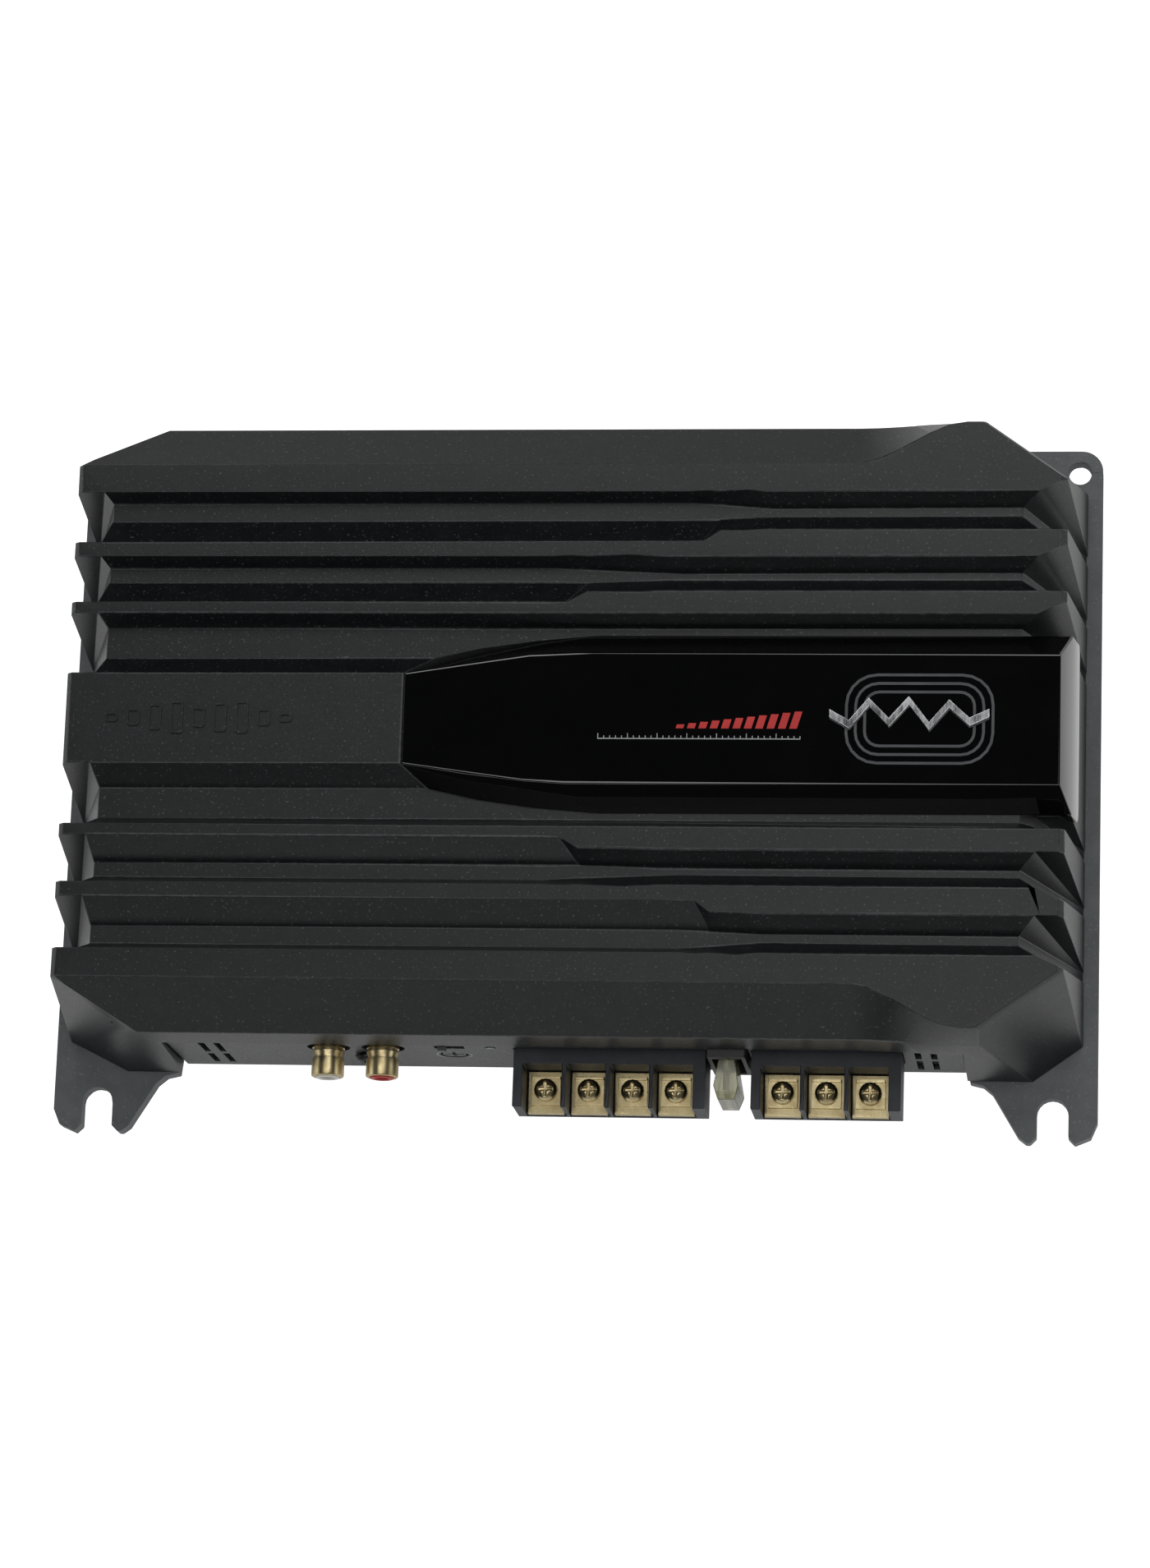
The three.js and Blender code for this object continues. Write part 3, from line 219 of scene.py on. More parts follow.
base_paint = finished(
    "base paint",
    POWDER_COAT,
    {
        "Paint": (0.110, 0.121, 0.126, 1),
        "Cloud": (0.140, 0.152, 0.157, 1),
        "Fleck": (0.22, 0.23, 0.23, 1),
        "Rub and highlight": (0.17, 0.18, 0.185, 1),
        "Grain": COAT_GRAIN,
        "Satin": 0.50,
        "Wear and highlight": 0.5,
    },
    COAT_RELIEF,
)
BASE_RADIUS = 0.35 * MM
eased_copy("base_flange_casting", "base_flange", "case", base_paint, BASE_RADIUS)

# ---- Bottom plate and case screws -------------------------------------------------
# A pressed steel plate, painted black, that lies in the flange's ledge and carries the
# board stands. Four blackened steel screws come up through the flange into the cover.

PLATE_RADIUS = 0.2 * MM
plate_paint = finished(
    "bottom plate paint",
    POWDER_COAT,
    {
        "Paint": (0.020, 0.020, 0.021, 1),
        "Cloud": (0.030, 0.030, 0.031, 1),
        "Fleck": (0.09, 0.09, 0.09, 1),
        "Rub and highlight": (0.16, 0.16, 0.155, 1),
        "Grain": 1800,
        "Satin": 0.42,
        "Wear and highlight": 0.5,
    },
    COAT_RELIEF,
)
eased_copy(
    "bottom_plate_pressing", "bottom_plate", "case", plate_paint, PLATE_RADIUS
)


TARNISH_SIZE = 260


def plating():
    """Plated metal: slightly uneven tone, handling haze and fine drawn scratches."""
    tree, given, out, place = new_effect(
        "plating", ("Plate", "Tarnish"), ("Grain", "Satin", "Haze")
    )
    tone = spread(tree, noise(tree, place, TARNISH_SIZE, 4.0, 0.6), 0.4, 0.68)
    drawn = add(tree, "Mapping", {"Vector": place, "Scale": (1.0, 0.06, 1.0)})
    scratches = noise(tree, drawn.outputs["Vector"], given["Grain"], 2.0, 0.6)
    rub_and_highlight = add(tree, "Attribute", attribute_name="rub_and_highlight").outputs["Fac"]
    unrubbed = add(tree, "Math", {0: 1.0, 1: rub_and_highlight}, operation="SUBTRACT").outputs[0]
    dull = product(tree, tone, unrubbed)
    tree.links.new(mixed(tree, dull, given["Plate"], given["Tarnish"]), out["Colour"])
    hazy = product(tree, tone, given["Haze"])
    streaks = spread(tree, scratches, 0.35, 0.7, 0.0, 0.08)
    tree.links.new(total(tree, given["Satin"], total(tree, hazy, streaks)), out["Roughness"])
    tree.links.new(total(tree, scratches, product(tree, tone, 0.3)), out["Height"])
    return tree


PLATING = plating()
PLATING_RELIEF = 0.006 * MM
black_zinc = finished(
    "black zinc",
    PLATING,
    {
        "Plate": (0.055, 0.055, 0.058, 1),
        "Tarnish": (0.022, 0.022, 0.024, 1),
        "Grain": 1500,
        "Satin": 0.30,
        "Haze": 0.14,
    },
    PLATING_RELIEF,
    metal=1.0,
)
SCREW_RADIUS = 0.15 * MM
for number in (1, 2, 3, 4):
    screw = f"case_screw_{number}"
    eased_copy(f"{screw}_turned", screw, "case", black_zinc, SCREW_RADIUS)

# ---- Circuit board and what stands on it --------------------------------------------
# A glass-fibre board under green solder resist, with its copper just showing through.
# It carries the toroid and the capacitors, and screws to the bottom plate's stands.


def dress(node, look):
    """Gives a CAD node its finish."""
    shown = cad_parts[node]
    if not shown.data.materials:
        shown.data.materials.append(look)
    for one in shown.material_slots:
        one.material = look


def bare_look(name, **sockets):
    """A material of its own, with its tree, its shader and its object coordinates."""
    look = bpy.data.materials.new(name)
    look.use_nodes = True
    tree = look.node_tree
    shader = tree.nodes["Principled BSDF"]
    for label, value in sockets.items():
        shader.inputs[label.replace("_", " ")].default_value = value
    return look, tree, shader, add(tree, "TexCoord").outputs["Object"]


def raised(tree, shader, height, relief):
    """Bumps the surface by a height, to the depth of relief."""
    bump = add(tree, "Bump", {"Height": height, "Distance": relief})
    tree.links.new(bump.outputs["Normal"], shader.inputs["Normal"])


board_look, tree, shader, place = bare_look("solder resist")
cells = add(tree, "TexVoronoi", {"Vector": place, "Scale": 150}, distance="MANHATTAN")
tracks = spread(tree, cells.outputs["Distance"], 0.42, 0.46)
glass = noise(tree, place, 900, 3.0)
resist = mixed(tree, tracks, (0.012, 0.075, 0.030, 1), (0.022, 0.13, 0.05, 1))
woven = mixed(tree, product(tree, glass, 0.3), resist, (0.02, 0.05, 0.03, 1))
tree.links.new(woven, shader.inputs["Base Color"])
tree.links.new(spread(tree, glass, 0.3, 0.7, 0.22, 0.38), shader.inputs["Roughness"])
raised(tree, shader, total(tree, tracks, product(tree, glass, 0.2)), 0.04 * MM)
dress("circuit_board", board_look)

winding_look, tree, shader, place = bare_look("enamelled wire", Metallic=0.85)
low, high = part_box("transformer_core")
middle = (low + high) / 2
centred = add(tree, "Mapping", {"Vector": place, "Location": -middle}).outputs["Vector"]
axes = add(tree, "SeparateXYZ", {"Vector": centred}).outputs
turn = add(tree, "Math", {0: axes["Y"], 1: axes["X"]}, operation="ARCTAN2").outputs[0]
wires = add(tree, "Math", {0: product(tree, turn, 96)}, operation="SINE").outputs[0]
rise = spread(tree, wires, -1.0, 1.0)
# The copper is painted dark in the grooves between the turns and bright on their crests. This is
# painted shade, following the same wave that raises the bump.
copper_with_groove_shade = mixed(tree, rise, (0.19, 0.045, 0.018, 1), (0.66, 0.25, 0.09, 1))
tree.links.new(copper_with_groove_shade, shader.inputs["Base Color"])
enamel = spread(tree, noise(tree, place, 700, 3.0), 0.3, 0.7, 0.24, 0.4)
tree.links.new(enamel, shader.inputs["Roughness"])
raised(tree, shader, rise, 0.35 * MM)
dress("transformer_core", winding_look)


STRIPE_FROM = 7.6 * MM
STRIPE_TO = 7.8 * MM


def sleeve_look(node):
    """Shrink sleeve with a pale stripe, and the bare can with its vent on top."""
    low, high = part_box(node)
    middle = (low + high) / 2
    look, tree, shader, place = bare_look(f"{node} sleeve")
    centred = add(tree, "Mapping", {"Vector": place, "Location": -middle}).outputs["Vector"]
    axes = add(tree, "SeparateXYZ", {"Vector": centred}).outputs
    half = (high.z - low.z) / 2
    top = spread(tree, axes["Z"], half - 0.3 * MM, half - 0.1 * MM)
    side = spread(tree, axes["X"], STRIPE_FROM, STRIPE_TO)
    film = mixed(tree, side, (0.012, 0.014, 0.022, 1), (0.55, 0.55, 0.52, 1))
    can = mixed(tree, noise(tree, place, 900, 3.0), (0.42, 0.42, 0.42, 1), (0.6, 0.6, 0.6, 1))
    tree.links.new(mixed(tree, top, film, can), shader.inputs["Base Color"])
    tree.links.new(top, shader.inputs["Metallic"])
    wrinkle = noise(tree, place, 500, 4.0)
    tree.links.new(spread(tree, wrinkle, 0.3, 0.7, 0.2, 0.36), shader.inputs["Roughness"])
    near = [add(tree, "Math", {0: axes[a]}, operation="ABSOLUTE").outputs[0] for a in "XY"]
    narrow = add(tree, "Math", {0: near[0], 1: near[1]}, operation="MINIMUM").outputs[0]
    vent = product(tree, spread(tree, narrow, 0.3 * MM, 0.5 * MM), top)
    raised(tree, shader, total(tree, vent, product(tree, wrinkle, 0.15)), 0.2 * MM)
    return look


for number in (1, 2, 3):
    dress(f"capacitor_{number}", sleeve_look(f"capacitor_{number}"))

# ---- Power transistors and their bar --------------------------------------------------
# Black epoxy packages pressed up against the cover, which is their heat sink, by a
# plated steel bar that spans them.


FLOW_SIZE = 140


def moulding():
    """Moulded plastic: fine spark-eroded grain, faint flow clouds, shinier high spots, and a
    painted highlight of lighter colour along rounded edges.
    """
    tree, given, out, place = new_effect("moulding", ("Plastic", "Flow"), ("Grain", "Satin"))
    grain = noise(tree, place, given["Grain"], 2.0, 0.6)
    flow = spread(tree, noise(tree, place, FLOW_SIZE, 4.0, 0.55), 0.38, 0.66)
    rub_and_highlight = add(tree, "Attribute", attribute_name="rub_and_highlight").outputs["Fac"]
    body = mixed(tree, flow, given["Plastic"], given["Flow"])
    # Rounded edges are painted halfway towards the lighter flow colour, which is a painted
    # highlight; their lower roughness is real rubbing.
    tree.links.new(mixed(tree, product(tree, rub_and_highlight, 0.5), body, given["Flow"]), out["Colour"])
    satin = total(tree, given["Satin"], spread(tree, grain, 0.3, 0.7, -0.06, 0.08))
    tree.links.new(total(tree, satin, product(tree, rub_and_highlight, -0.1)), out["Roughness"])
    tree.links.new(grain, out["Height"])
    return tree


MOULDING = moulding()
MOULDING_RELIEF = 0.03 * MM
black_moulding = finished(
    "black moulding",
    MOULDING,
    {
        "Plastic": (0.012, 0.012, 0.013, 1),
        "Flow": (0.022, 0.022, 0.024, 1),
        "Grain": 2400,
        "Satin": 0.42,
    },
    MOULDING_RELIEF,
)
nickel = finished(
    "nickel plate",
    PLATING,
    {
        "Plate": (0.62, 0.61, 0.58, 1),
        "Tarnish": (0.40, 0.39, 0.37, 1),
        "Grain": 1200,
        "Satin": 0.22,
        "Haze": 0.16,
    },
    PLATING_RELIEF,
    metal=1.0,
)
dress("power_transistor_1", black_moulding)
dress("power_transistor_2", black_moulding)
dress("transistor_bar", nickel)

# ---- Connection panel -----------------------------------------------------------------
# Folded steel sheet, painted dark grey, that closes the opening in the cover's front.
# Its cut-outs were punched before painting. Fine marks are printed round the level hole.

PANEL_RADIUS = 0.15 * MM
panel_paint = finished(
    "panel paint",
    POWDER_COAT,
    {
        "Paint": (0.022, 0.024, 0.026, 1),
        "Cloud": (0.032, 0.034, 0.036, 1),
        "Fleck": (0.17, 0.175, 0.18, 1),
        "Rub and highlight": (0.16, 0.165, 0.17, 1),
        "Grain": 2200,
        "Satin": 0.40,
        "Wear and highlight": 0.4,
    },
    0.03 * MM,
    Specular_IOR_Level=0.45,
)
eased_copy(
    "connection_panel_sheet", "connection_panel", "case", panel_paint, PANEL_RADIUS
)

INK = 0.03 * MM
level_low, level_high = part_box("level_rotor")
level_at = (level_low + level_high) / 2
panel_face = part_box("connection_panel")[0].y
white_ink = finished(
    "white ink",
    MOULDING,
    {
        "Plastic": (0.42, 0.43, 0.44, 1),
        "Flow": (0.52, 0.53, 0.54, 1),
        "Grain": 3000,
        "Satin": 0.5,
    },
    0.01 * MM,
)


def printed_arc(name, radius, line, start, sweep, face_y, look):
    """A thin line of ink round the level control, swept from one small rectangle."""
    ink = bmesh.new()
    corners = [
        ink.verts.new((radius + out, 0, up)) for out, up in
        ((0, 0), (line, 0), (line, INK), (0, INK))
    ]
    strip = ink.edges[:] + [ink.edges.new((corners[i], corners[(i + 1) % 4])) for i in range(4)]
    bmesh.ops.rotate(ink, verts=ink.verts[:], matrix=Matrix.Rotation(start, 3, "Z"))
    bmesh.ops.spin(
        ink,
        geom=corners + strip,
        cent=(0, 0, 0),
        axis=(0, 0, 1),
        angle=sweep,
        steps=36,
        use_merge=False,
    )
    loops = [e for e in ink.edges if len(e.link_faces) == 1]
    bmesh.ops.holes_fill(ink, edges=loops, sides=4)
    bmesh.ops.recalc_face_normals(ink, faces=ink.faces[:])
    upright = Matrix.Rotation(math.radians(90), 3, "X")
    bmesh.ops.rotate(ink, verts=ink.verts[:], matrix=upright)
    bmesh.ops.translate(ink, verts=ink.verts[:], vec=(level_at.x, face_y, level_at.z))
    return placed(name, ink, "case", look)


printed_arc(
    "level_scale_line", 4.3 * MM, 0.25 * MM, math.radians(-50), math.radians(280),
    panel_face, white_ink,
)


def ink_patch(ink, left, front, right, back, z, lean=0.0):
    """A thin printed rectangle, leaning like a slanted stroke if asked."""
    made = bmesh.ops.create_cube(ink, size=1.0)
    size = Vector((right - left, back - front, INK))
    bmesh.ops.scale(ink, verts=made["verts"], vec=size)
    for v in made["verts"]:
        v.co.x += lean * v.co.y
    spot = ((left + right) / 2, (front + back) / 2, z + INK / 2)
    bmesh.ops.translate(ink, verts=made["verts"], vec=spot)


# ---- Input jacks ------------------------------------------------------------------------
# Two phono sockets turned in brass and gold plated, on one moulded housing behind the
# panel: white insulator for the left channel, red for the right. A black screw holds it.

gold = finished(
    "gold plate",
    PLATING,
    {
        "Plate": (0.58, 0.49, 0.28, 1),
        "Tarnish": (0.47, 0.37, 0.19, 1),
        "Grain": 1600,
        "Satin": 0.24,
        "Haze": 0.10,
    },
    PLATING_RELIEF,
    metal=1.0,
)
TURN_STEPS = 64


def turned(name, profile, x, z, body, look, stands_for):
    """A part turned on a lathe about an axis along Y, from its closed profile."""
    work = bmesh.new()
    ring = [work.verts.new((r * MM, y * MM, 0)) for y, r in profile]
    loop = [work.edges.new((ring[i], ring[i - 1])) for i in range(len(ring))]
    bmesh.ops.spin(
        work,
        geom=ring + loop,
        cent=(0, 0, 0),
        axis=(0, 1, 0),
        angle=math.tau,
        steps=TURN_STEPS,
        use_merge=True,
    )
    bmesh.ops.remove_doubles(work, verts=work.verts[:], dist=WELD / 4)
    bmesh.ops.recalc_face_normals(work, faces=work.faces[:])
    bmesh.ops.translate(work, verts=work.verts[:], vec=(x, 0, z))
    for f in work.faces:
        f.smooth = True
    for e in work.edges:
        e.smooth = e.calc_face_angle(0) < CREASE
    return placed(name, work, body, look, stands_for)


insulator_looks = {
    side: finished(
        f"{side} insulator",
        MOULDING,
        {"Plastic": colour, "Flow": pale, "Grain": 1800, "Satin": 0.35},
        0.01 * MM,
    )
    for side, colour, pale in (
        ("left", (0.74, 0.72, 0.66, 1), (0.82, 0.80, 0.75, 1)),
        ("right", (0.50, 0.018, 0.014, 1), (0.60, 0.030, 0.020, 1)),
    )
}
for side, slot in (("left", "white_plastic"), ("right", "red_plastic")):
    low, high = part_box(f"jack_shell_{side}")
    x, z = (low.x + high.x) / 2, (low.z + high.z) / 2
    back, front, r = high.y / MM, low.y / MM, (high.x - low.x) / 2 / MM
    shell = [(back, r), (back - 1.9, r)]
    for groove in (back - 1.9, back - 3.7):
        shell += [(groove - 0.1, r - 0.35), (groove - 0.8, r - 0.35), (groove - 0.9, r)]
        shell += [(groove - 1.0, r)]
    shell += [(front + 0.75, r), (front + 0.5, r - 0.12), (front + 0.35, r - 0.4)]
    shell += [(front + 0.35, r - 0.85), (front + 0.6, r - 1.0), (back, r - 1.0)]
    turned(
        f"jack_shell_{side}_turned", shell, x, z, "case",
        gold, [f"jack_shell_{side}"],
    )
    body = [(back, 3.1), (front + 0.3, 3.1), (front + 0.08, 2.95), (front, 2.7)]
    body += [(front, 2.2), (front + 0.2, 1.9), (front + 0.9, 1.7), (back, 1.7)]
    turned(
        f"jack_insulator_{side}_moulded", body, x, z, "case",
        insulator_looks[side], [f"jack_insulator_{side}"],
    )
    tip = [(back, 1.6), (front + 1.3, 1.6), (front + 1.2, 1.45), (front + 1.2, 1.2)]
    tip += [(front + 1.5, 1.05), (back - 0.5, 1.05), (back - 0.5, 0.0), (back, 0.0)]
    turned(
        f"jack_contact_{side}_turned", tip, x, z, "case",
        gold, [f"jack_contact_{side}"],
    )
dress("jack_housing", black_moulding)
eased_copy("jack_screw_turned", "jack_screw", "case", black_zinc, SCREW_RADIUS)

# ---- Filter switch, level control and indicator --------------------------------------
# The switch's grey knob slides in a window, the level control is a slotted rotor reached
# with a screwdriver, and a small light pipe shows that the amplifier is on.

grey_moulding = finished(
    "grey moulding",
    MOULDING,
    {
        "Plastic": (0.085, 0.088, 0.092, 1),
        "Flow": (0.11, 0.114, 0.118, 1),
        "Grain": 2200,
        "Satin": 0.45,
    },
    MOULDING_RELIEF,
)
SMALL_RADIUS = 0.12 * MM
dress("switch_body", nickel)
dress("level_body", black_moulding)
eased_copy(
    "switch_slider_knob", "switch_slider", "filter_slider",
    grey_moulding, SMALL_RADIUS,
)
eased_copy(
    "level_rotor_moulded", "level_rotor", "level_knob",
    grey_moulding, SMALL_RADIUS,
)
lens_look, tree, shader, place = bare_look("light pipe", IOR=1.49, Transmission_Weight=0.6)
haze = noise(tree, place, 1300, 3.0)
tinge = mixed(tree, haze, (0.30, 0.42, 0.34, 1), (0.46, 0.58, 0.48, 1))
tree.links.new(tinge, shader.inputs["Base Color"])
tree.links.new(spread(tree, haze, 0.3, 0.7, 0.12, 0.3), shader.inputs["Roughness"])
raised(tree, shader, haze, 0.01 * MM)
eased_copy(
    "indicator_light_pipe", "indicator_lens", "case", lens_look, SMALL_RADIUS
)

# ---- Terminal blocks --------------------------------------------------------------------
# Barrier blocks moulded in dark glass-filled plastic, one of four cells for the speakers
# and one of three for power. Each cell has a folded gold-plated plate with a clamp screw.

block_look = finished(
    "terminal moulding",
    MOULDING,
    {
        "Plastic": (0.018, 0.022, 0.029, 1),
        "Flow": (0.028, 0.033, 0.042, 1),
        "Grain": 2600,
        "Satin": 0.46,
    },
    MOULDING_RELIEF,
    Specular_IOR_Level=0.4,
)
BLOCK_RADIUS = 0.3 * MM
PLATE_FOLD_RADIUS = 0.15 * MM
HEAD_RADIUS = 0.18 * MM
for kind in ("speaker", "power"):
    block = f"{kind}_terminal_block"
    eased_copy(f"{block}_moulded", block, "case", block_look, BLOCK_RADIUS)
for number in range(1, 8):
    plate, washer, screw = (f"terminal_{kind}_{number}" for kind in ("plate", "washer", "screw"))
    eased_copy(f"{plate}_pressed", plate, "case", gold, PLATE_FOLD_RADIUS)
    eased_copy(
        f"{washer}_pressed", washer, f"clamp_{number}", gold, PLATE_FOLD_RADIUS
    )
    eased_copy(f"{screw}_turned", screw, f"screw_{number}", gold, HEAD_RADIUS)

# ---- Fuse and its socket ------------------------------------------------------------------
# A blade fuse in clear yellowish plastic round a stamped zinc link, pushed into a black
# socket between the blocks. Its grip is wider than its neck, to pull it out by.

fuse_look, tree, shader, place = bare_look("clear fuse plastic", IOR=1.5, Transmission_Weight=0.8)
cloud = noise(tree, place, 330, 4.0, 0.6)
yellowed = mixed(tree, cloud, (0.62, 0.60, 0.36, 1), (0.80, 0.79, 0.58, 1))
tree.links.new(yellowed, shader.inputs["Base Color"])
tree.links.new(spread(tree, cloud, 0.3, 0.7, 0.10, 0.28), shader.inputs["Roughness"])
raised(tree, shader, cloud, 0.015 * MM)
eased_copy("fuse_body_moulded", "fuse_body", "fuse", fuse_look, BLOCK_RADIUS)
dress("fuse_element", nickel)
eased_copy(
    "fuse_socket_moulded", "fuse_socket", "case", black_moulding, BLOCK_RADIUS
)

# ---- Top cover --------------------------------------------------------------------------------
# One aluminium die casting that is also the heat sink: six cooling channels run along it,
# their ribs end in cut slopes, and a plain raised mark stands on the middle ridge.

cover_paint = finished(
    "cover paint",
    POWDER_COAT,
    {
        "Paint": (0.0035, 0.0046, 0.0051, 1),
        "Cloud": (0.0068, 0.0084, 0.0092, 1),
        "Fleck": (0.075, 0.080, 0.080, 1),
        "Rub and highlight": (0.060, 0.064, 0.066, 1),
        "Grain": COAT_GRAIN,
        "Satin": 0.36,
        "Wear and highlight": 0.75,
    },
    COAT_RELIEF,
)
COVER_RADIUS = 0.45 * MM
eased_copy("top_cover_casting", "top_cover", "case", cover_paint, COVER_RADIUS, 3)

RIDGE_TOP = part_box("top_cover")[1].z
MARK_RISE = 0.45 * MM
MARK_LINE = 0.55 * MM
MARK_CORNER = 0.9 * MM
MARK_MIDDLE = 6.4 * MM
MARK_LEFT = -114.5 * MM
MARK_PITCH = 5.6 * MM
MARK_WIDTH = 3.4 * MM


def outline(work, x, y, z, width, depth, line, corner, rise):
    """A raised rounded outline: one face, its corners rounded, inset and drawn up."""
    face = bmesh.ops.create_grid(work, x_segments=1, y_segments=1, size=0.5)["verts"]
    bmesh.ops.scale(work, verts=face, vec=(width, depth, 1))
    bmesh.ops.translate(work, verts=face, vec=(x, y, z))
    rounded = bmesh.ops.bevel(
        work, geom=face, offset=corner, segments=5, profile=0.5, affect="VERTICES", material=-1
    )
    work.normal_update()
    sheet = list({f for v in rounded["verts"] for f in v.link_faces})
    inset = bmesh.ops.inset_region(work, faces=sheet, thickness=line, use_boundary=True)
    band = inset["faces"]
    bmesh.ops.delete(work, geom=sheet, context="FACES_ONLY")
    drawn = bmesh.ops.extrude_face_region(work, geom=band, use_keep_orig=True)
    top = [g for g in drawn["geom"] if isinstance(g, bmesh.types.BMVert)]
    bmesh.ops.translate(work, verts=top, vec=(0, 0, rise))


MARK_DEPTHS = (2.4, 4.4, 6.8, 8.4, 5.2, 7.6, 8.4, 4.4, 2.4)
mark = bmesh.new()
for number, depth in enumerate(MARK_DEPTHS):
    outline(
        mark, MARK_LEFT + number * MARK_PITCH, MARK_MIDDLE, RIDGE_TOP,
        MARK_WIDTH, depth * MM, MARK_LINE, MARK_CORNER, MARK_RISE,
    )
bmesh.ops.recalc_face_normals(mark, faces=mark.faces[:])
placed("ridge_mark", mark, "case", cover_paint)

# ---- Trim panel --------------------------------------------------------------------------------
# A black high-gloss moulding pressed on to the middle ridge and folded over its end. It
# carries a chromed waveform, a thin grey pattern, a row of red bars and a white scale.

gloss_look, tree, shader, place = bare_look(
    "piano black", Coat_Weight=1.0, Coat_Roughness=0.02, Coat_IOR=1.5
)
ripple = noise(tree, place, 90, 2.0)
dust = spread(tree, noise(tree, place, 2200, 1.0), 0.72, 0.8)
dusty = mixed(tree, dust, (0.0012, 0.0012, 0.0014, 1), (0.010, 0.010, 0.011, 1))
tree.links.new(dusty, shader.inputs["Base Color"])
tree.links.new(spread(tree, ripple, 0.3, 0.7, 0.05, 0.09), shader.inputs["Roughness"])
raised(tree, shader, total(tree, ripple, product(tree, dust, 0.02)), 0.01 * MM)
TRIM_RADIUS = 0.5 * MM
eased_copy("trim_panel_moulded", "trim_panel", "case", gloss_look, TRIM_RADIUS, 3)

chrome = finished(
    "chrome plate",
    PLATING,
    {
        "Plate": (0.66, 0.67, 0.68, 1),
        "Tarnish": (0.50, 0.51, 0.52, 1),
        "Grain": 1400,
        "Satin": 0.14,
        "Haze": 0.10,
    },
    PLATING_RELIEF,
    metal=1.0,
)
eased_copy("trim_emblem_cast", "trim_emblem", "case", chrome, 0.22 * MM)

TRIM_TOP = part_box("trim_panel")[1].z
red_ink = finished(
    "red ink",
    MOULDING,
    {
        "Plastic": (0.60, 0.018, 0.016, 1),
        "Flow": (0.70, 0.030, 0.024, 1),
        "Grain": 3000,
        "Satin": 0.35,
    },
    0.01 * MM,
)
grey_ink = finished(
    "grey ink",
    MOULDING,
    {
        "Plastic": (0.055, 0.059, 0.064, 1),
        "Flow": (0.080, 0.085, 0.091, 1),
        "Grain": 3000,
        "Satin": 0.35,
    },
    0.01 * MM,
)
BAR_PITCH = 2.9 * MM
BAR_WIDTH = 1.9 * MM
bars = bmesh.new()
for number in range(11):
    left = 29.8 * MM + number * BAR_PITCH
    ink_patch(bars, left, 3.7 * MM, left + BAR_WIDTH, (4.7 + 0.34 * number) * MM, TRIM_TOP, 0.3)
placed("trim_red_bars", bars, "case", red_ink)

scale = bmesh.new()
ink_patch(scale, 10 * MM, 0.9 * MM, 61 * MM, 1.15 * MM, TRIM_TOP)
for number in range(35):
    left = 10 * MM + number * 1.494 * MM
    tall = 2.4 if number % 5 == 0 else 1.8
    ink_patch(scale, left, 1.15 * MM, left + 0.2 * MM, tall * MM, TRIM_TOP)
placed("trim_white_scale", scale, "case", white_ink)

pattern = bmesh.new()
for grow in (0, 1, 2):
    outline(
        pattern, 90.6 * MM, 6.3 * MM, TRIM_TOP, (28 + 4.6 * grow) * MM, (14.6 + 4.4 * grow) * MM,
        0.7 * MM, (4 + 2 * grow) * MM, INK,
    )
bmesh.ops.recalc_face_normals(pattern, faces=pattern.faces[:])
placed("trim_grey_pattern", pattern, "case", grey_ink)

# ---- Studio --------------------------------------------------------------------------------
# A pale light table, open from below, with soft boxes to the left, right, rear, front and
# overhead, and the camera looking down on the amplifier from the front.

TABLE_GLOW = 0.30
floor_look, tree, shader, place = bare_look("light table")
straight = add(tree, "LightPath").outputs["Is Camera Ray"]
glow = spread(tree, straight, 0.0, 1.0, TABLE_GLOW, 1.0)
tree.links.new(glow, shader.inputs["Emission Strength"])
cloth = noise(tree, place, 40, 3.0)
pale = mixed(tree, cloth, (0.80, 0.80, 0.80, 1), (0.84, 0.84, 0.84, 1))
tree.links.new(pale, shader.inputs["Base Color"])
shader.inputs["Emission Color"].default_value = (1, 1, 1, 1)
shader.inputs["Roughness"].default_value = 0.9
raised(tree, shader, cloth, 0.02 * MM)
from_below = add(tree, "NewGeometry").outputs["Backfacing"]
open_below = add(tree, "MixShader", {0: from_below})
tree.links.new(shader.outputs[0], open_below.inputs[1])
tree.links.new(add(tree, "BsdfTransparent").outputs[0], open_below.inputs[2])
tree.links.new(open_below.outputs[0], tree.nodes["Material Output"].inputs["Surface"])
TABLE_GAP = 0.02 * MM
table_top = bmesh.new()
bmesh.ops.create_grid(table_top, x_segments=8, y_segments=8, size=3.0)
bmesh.ops.translate(table_top, verts=table_top.verts[:], vec=(0, 0, -TABLE_GAP))
table_mesh = bpy.data.meshes.new("light_table")
table_top.to_mesh(table_mesh)
table_top.free()
table_mesh.materials.append(floor_look)
light_table = bpy.data.objects.new("light_table", table_mesh)
bpy.context.scene.collection.objects.link(light_table)


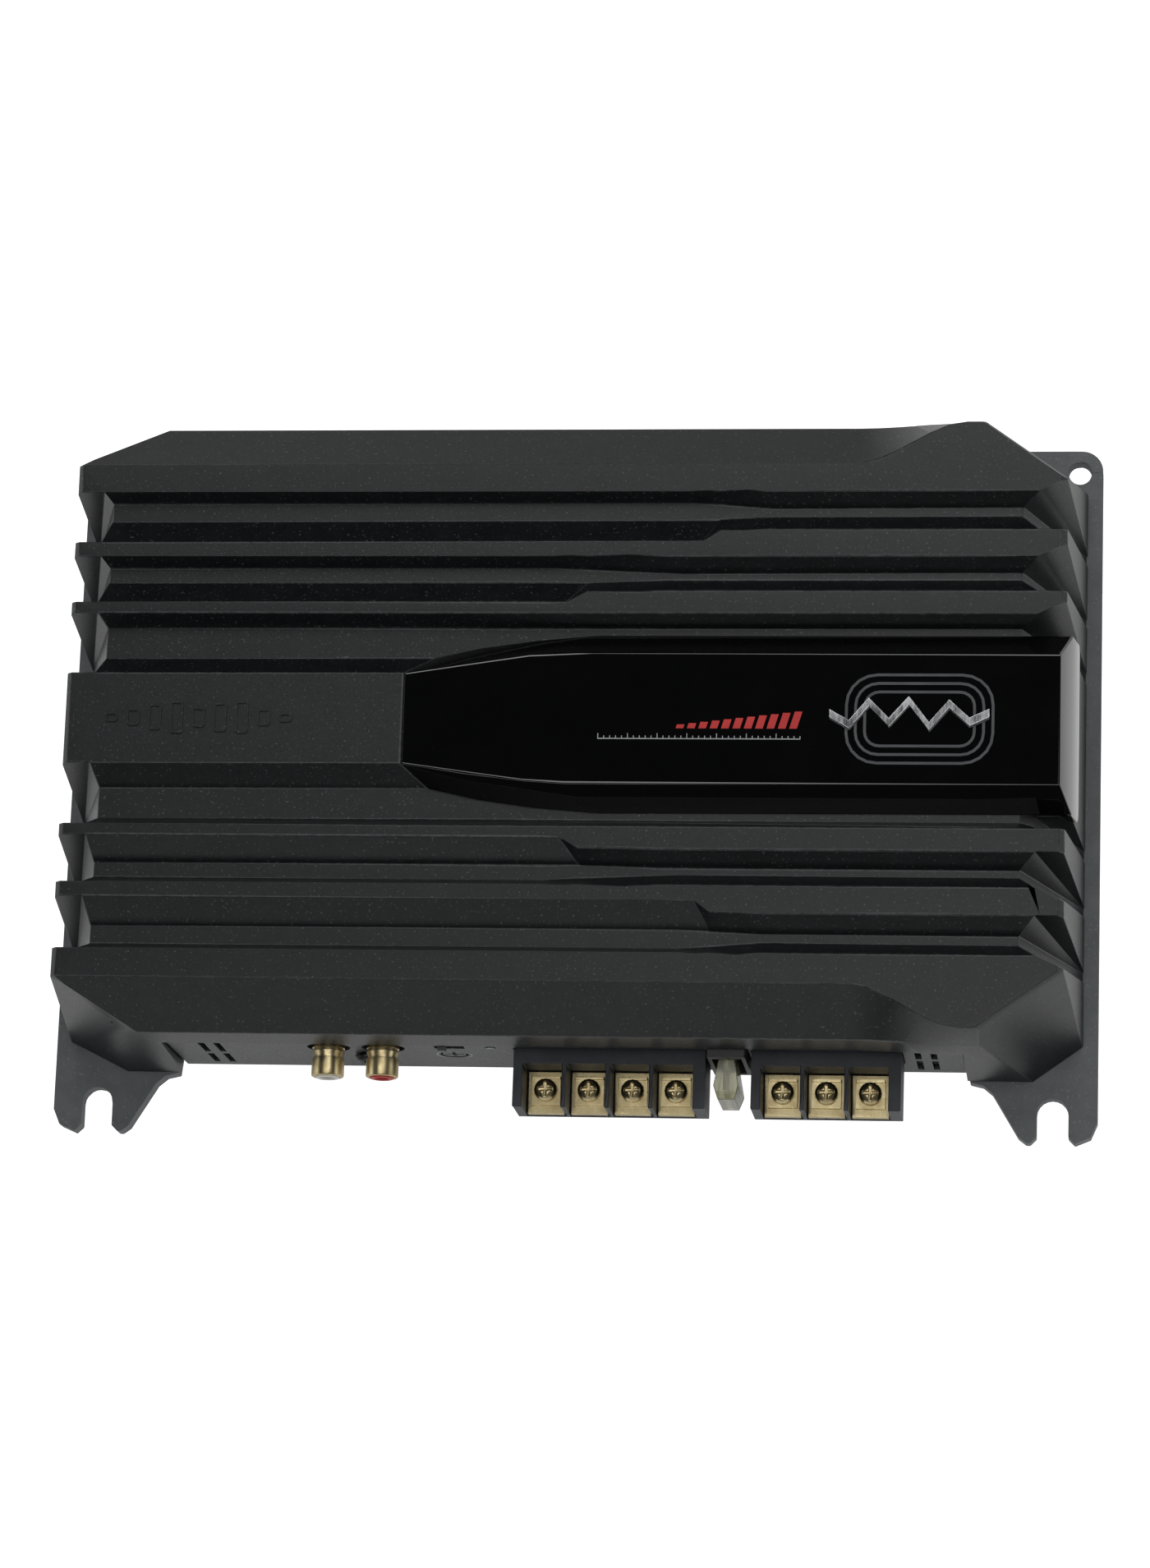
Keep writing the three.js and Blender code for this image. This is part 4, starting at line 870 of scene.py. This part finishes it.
def soft_box(name, spot, size, power, aim=(0, 0, 0.03)):
    """A rectangular studio lamp, turned towards the amplifier."""
    lamp = bpy.data.lights.new(name, "AREA")
    lamp.shape = "RECTANGLE"
    lamp.size, lamp.size_y = size
    lamp.energy = power
    box = bpy.data.objects.new(name, lamp)
    box.location = spot
    box.rotation_mode = "QUATERNION"
    box.rotation_quaternion = (Vector(aim) - Vector(spot)).to_track_quat("-Z", "Y")
    bpy.context.scene.collection.objects.link(box)


soft_box("left_soft_box", (-1.3, 0.0, 0.40), (1.4, 0.6), 3)
soft_box("right_soft_box", (1.3, 0.0, 0.40), (1.4, 0.6), 3)
soft_box("rear_soft_box", (0.1, 0.82, 1.26), (1.3, 0.6), 6)
soft_box("top_soft_box", (0.1, -0.2, 1.6), (1.3, 0.75), 6)
soft_box("front_soft_box", (0.1, -1.3, 0.69), (1.6, 0.28), 2.3)

air = bpy.data.worlds.new("studio")
air.use_nodes = True
tree = air.node_tree
seen = add(tree, "Background", {"Color": (0.86, 0.87, 0.88, 1), "Strength": 1.0})
dim = add(tree, "Background", {"Color": (0.5, 0.52, 0.55, 1), "Strength": 0.04})
which = add(tree, "MixShader", {0: add(tree, "LightPath").outputs["Is Camera Ray"]})
tree.links.new(dim.outputs[0], which.inputs[1])
tree.links.new(seen.outputs[0], which.inputs[2])
tree.links.new(which.outputs[0], tree.nodes["World Output"].inputs["Surface"])
bpy.context.scene.world = air
bpy.context.scene.view_settings.view_transform = "Standard"

lens = bpy.data.cameras.new("camera")
lens.sensor_fit = "HORIZONTAL"
lens.sensor_width = 36
lens.lens = 158.69
lens.clip_start = 0.05
lens.clip_end = 20
camera = bpy.data.objects.new("camera", lens)
right = Vector((0.992868, 0.032991, -0.114564))
up = Vector((-0.004851, 0.971333, 0.237675))
back = Vector((0.119121, -0.235424, 0.964565))
stand = Vector((0.155886, -0.309462, 1.278702))
axes = Matrix((right, up, back)).transposed()
camera.matrix_world = Matrix.Translation(stand) @ axes.to_4x4()
bpy.context.scene.collection.objects.link(camera)
bpy.context.scene.camera = camera
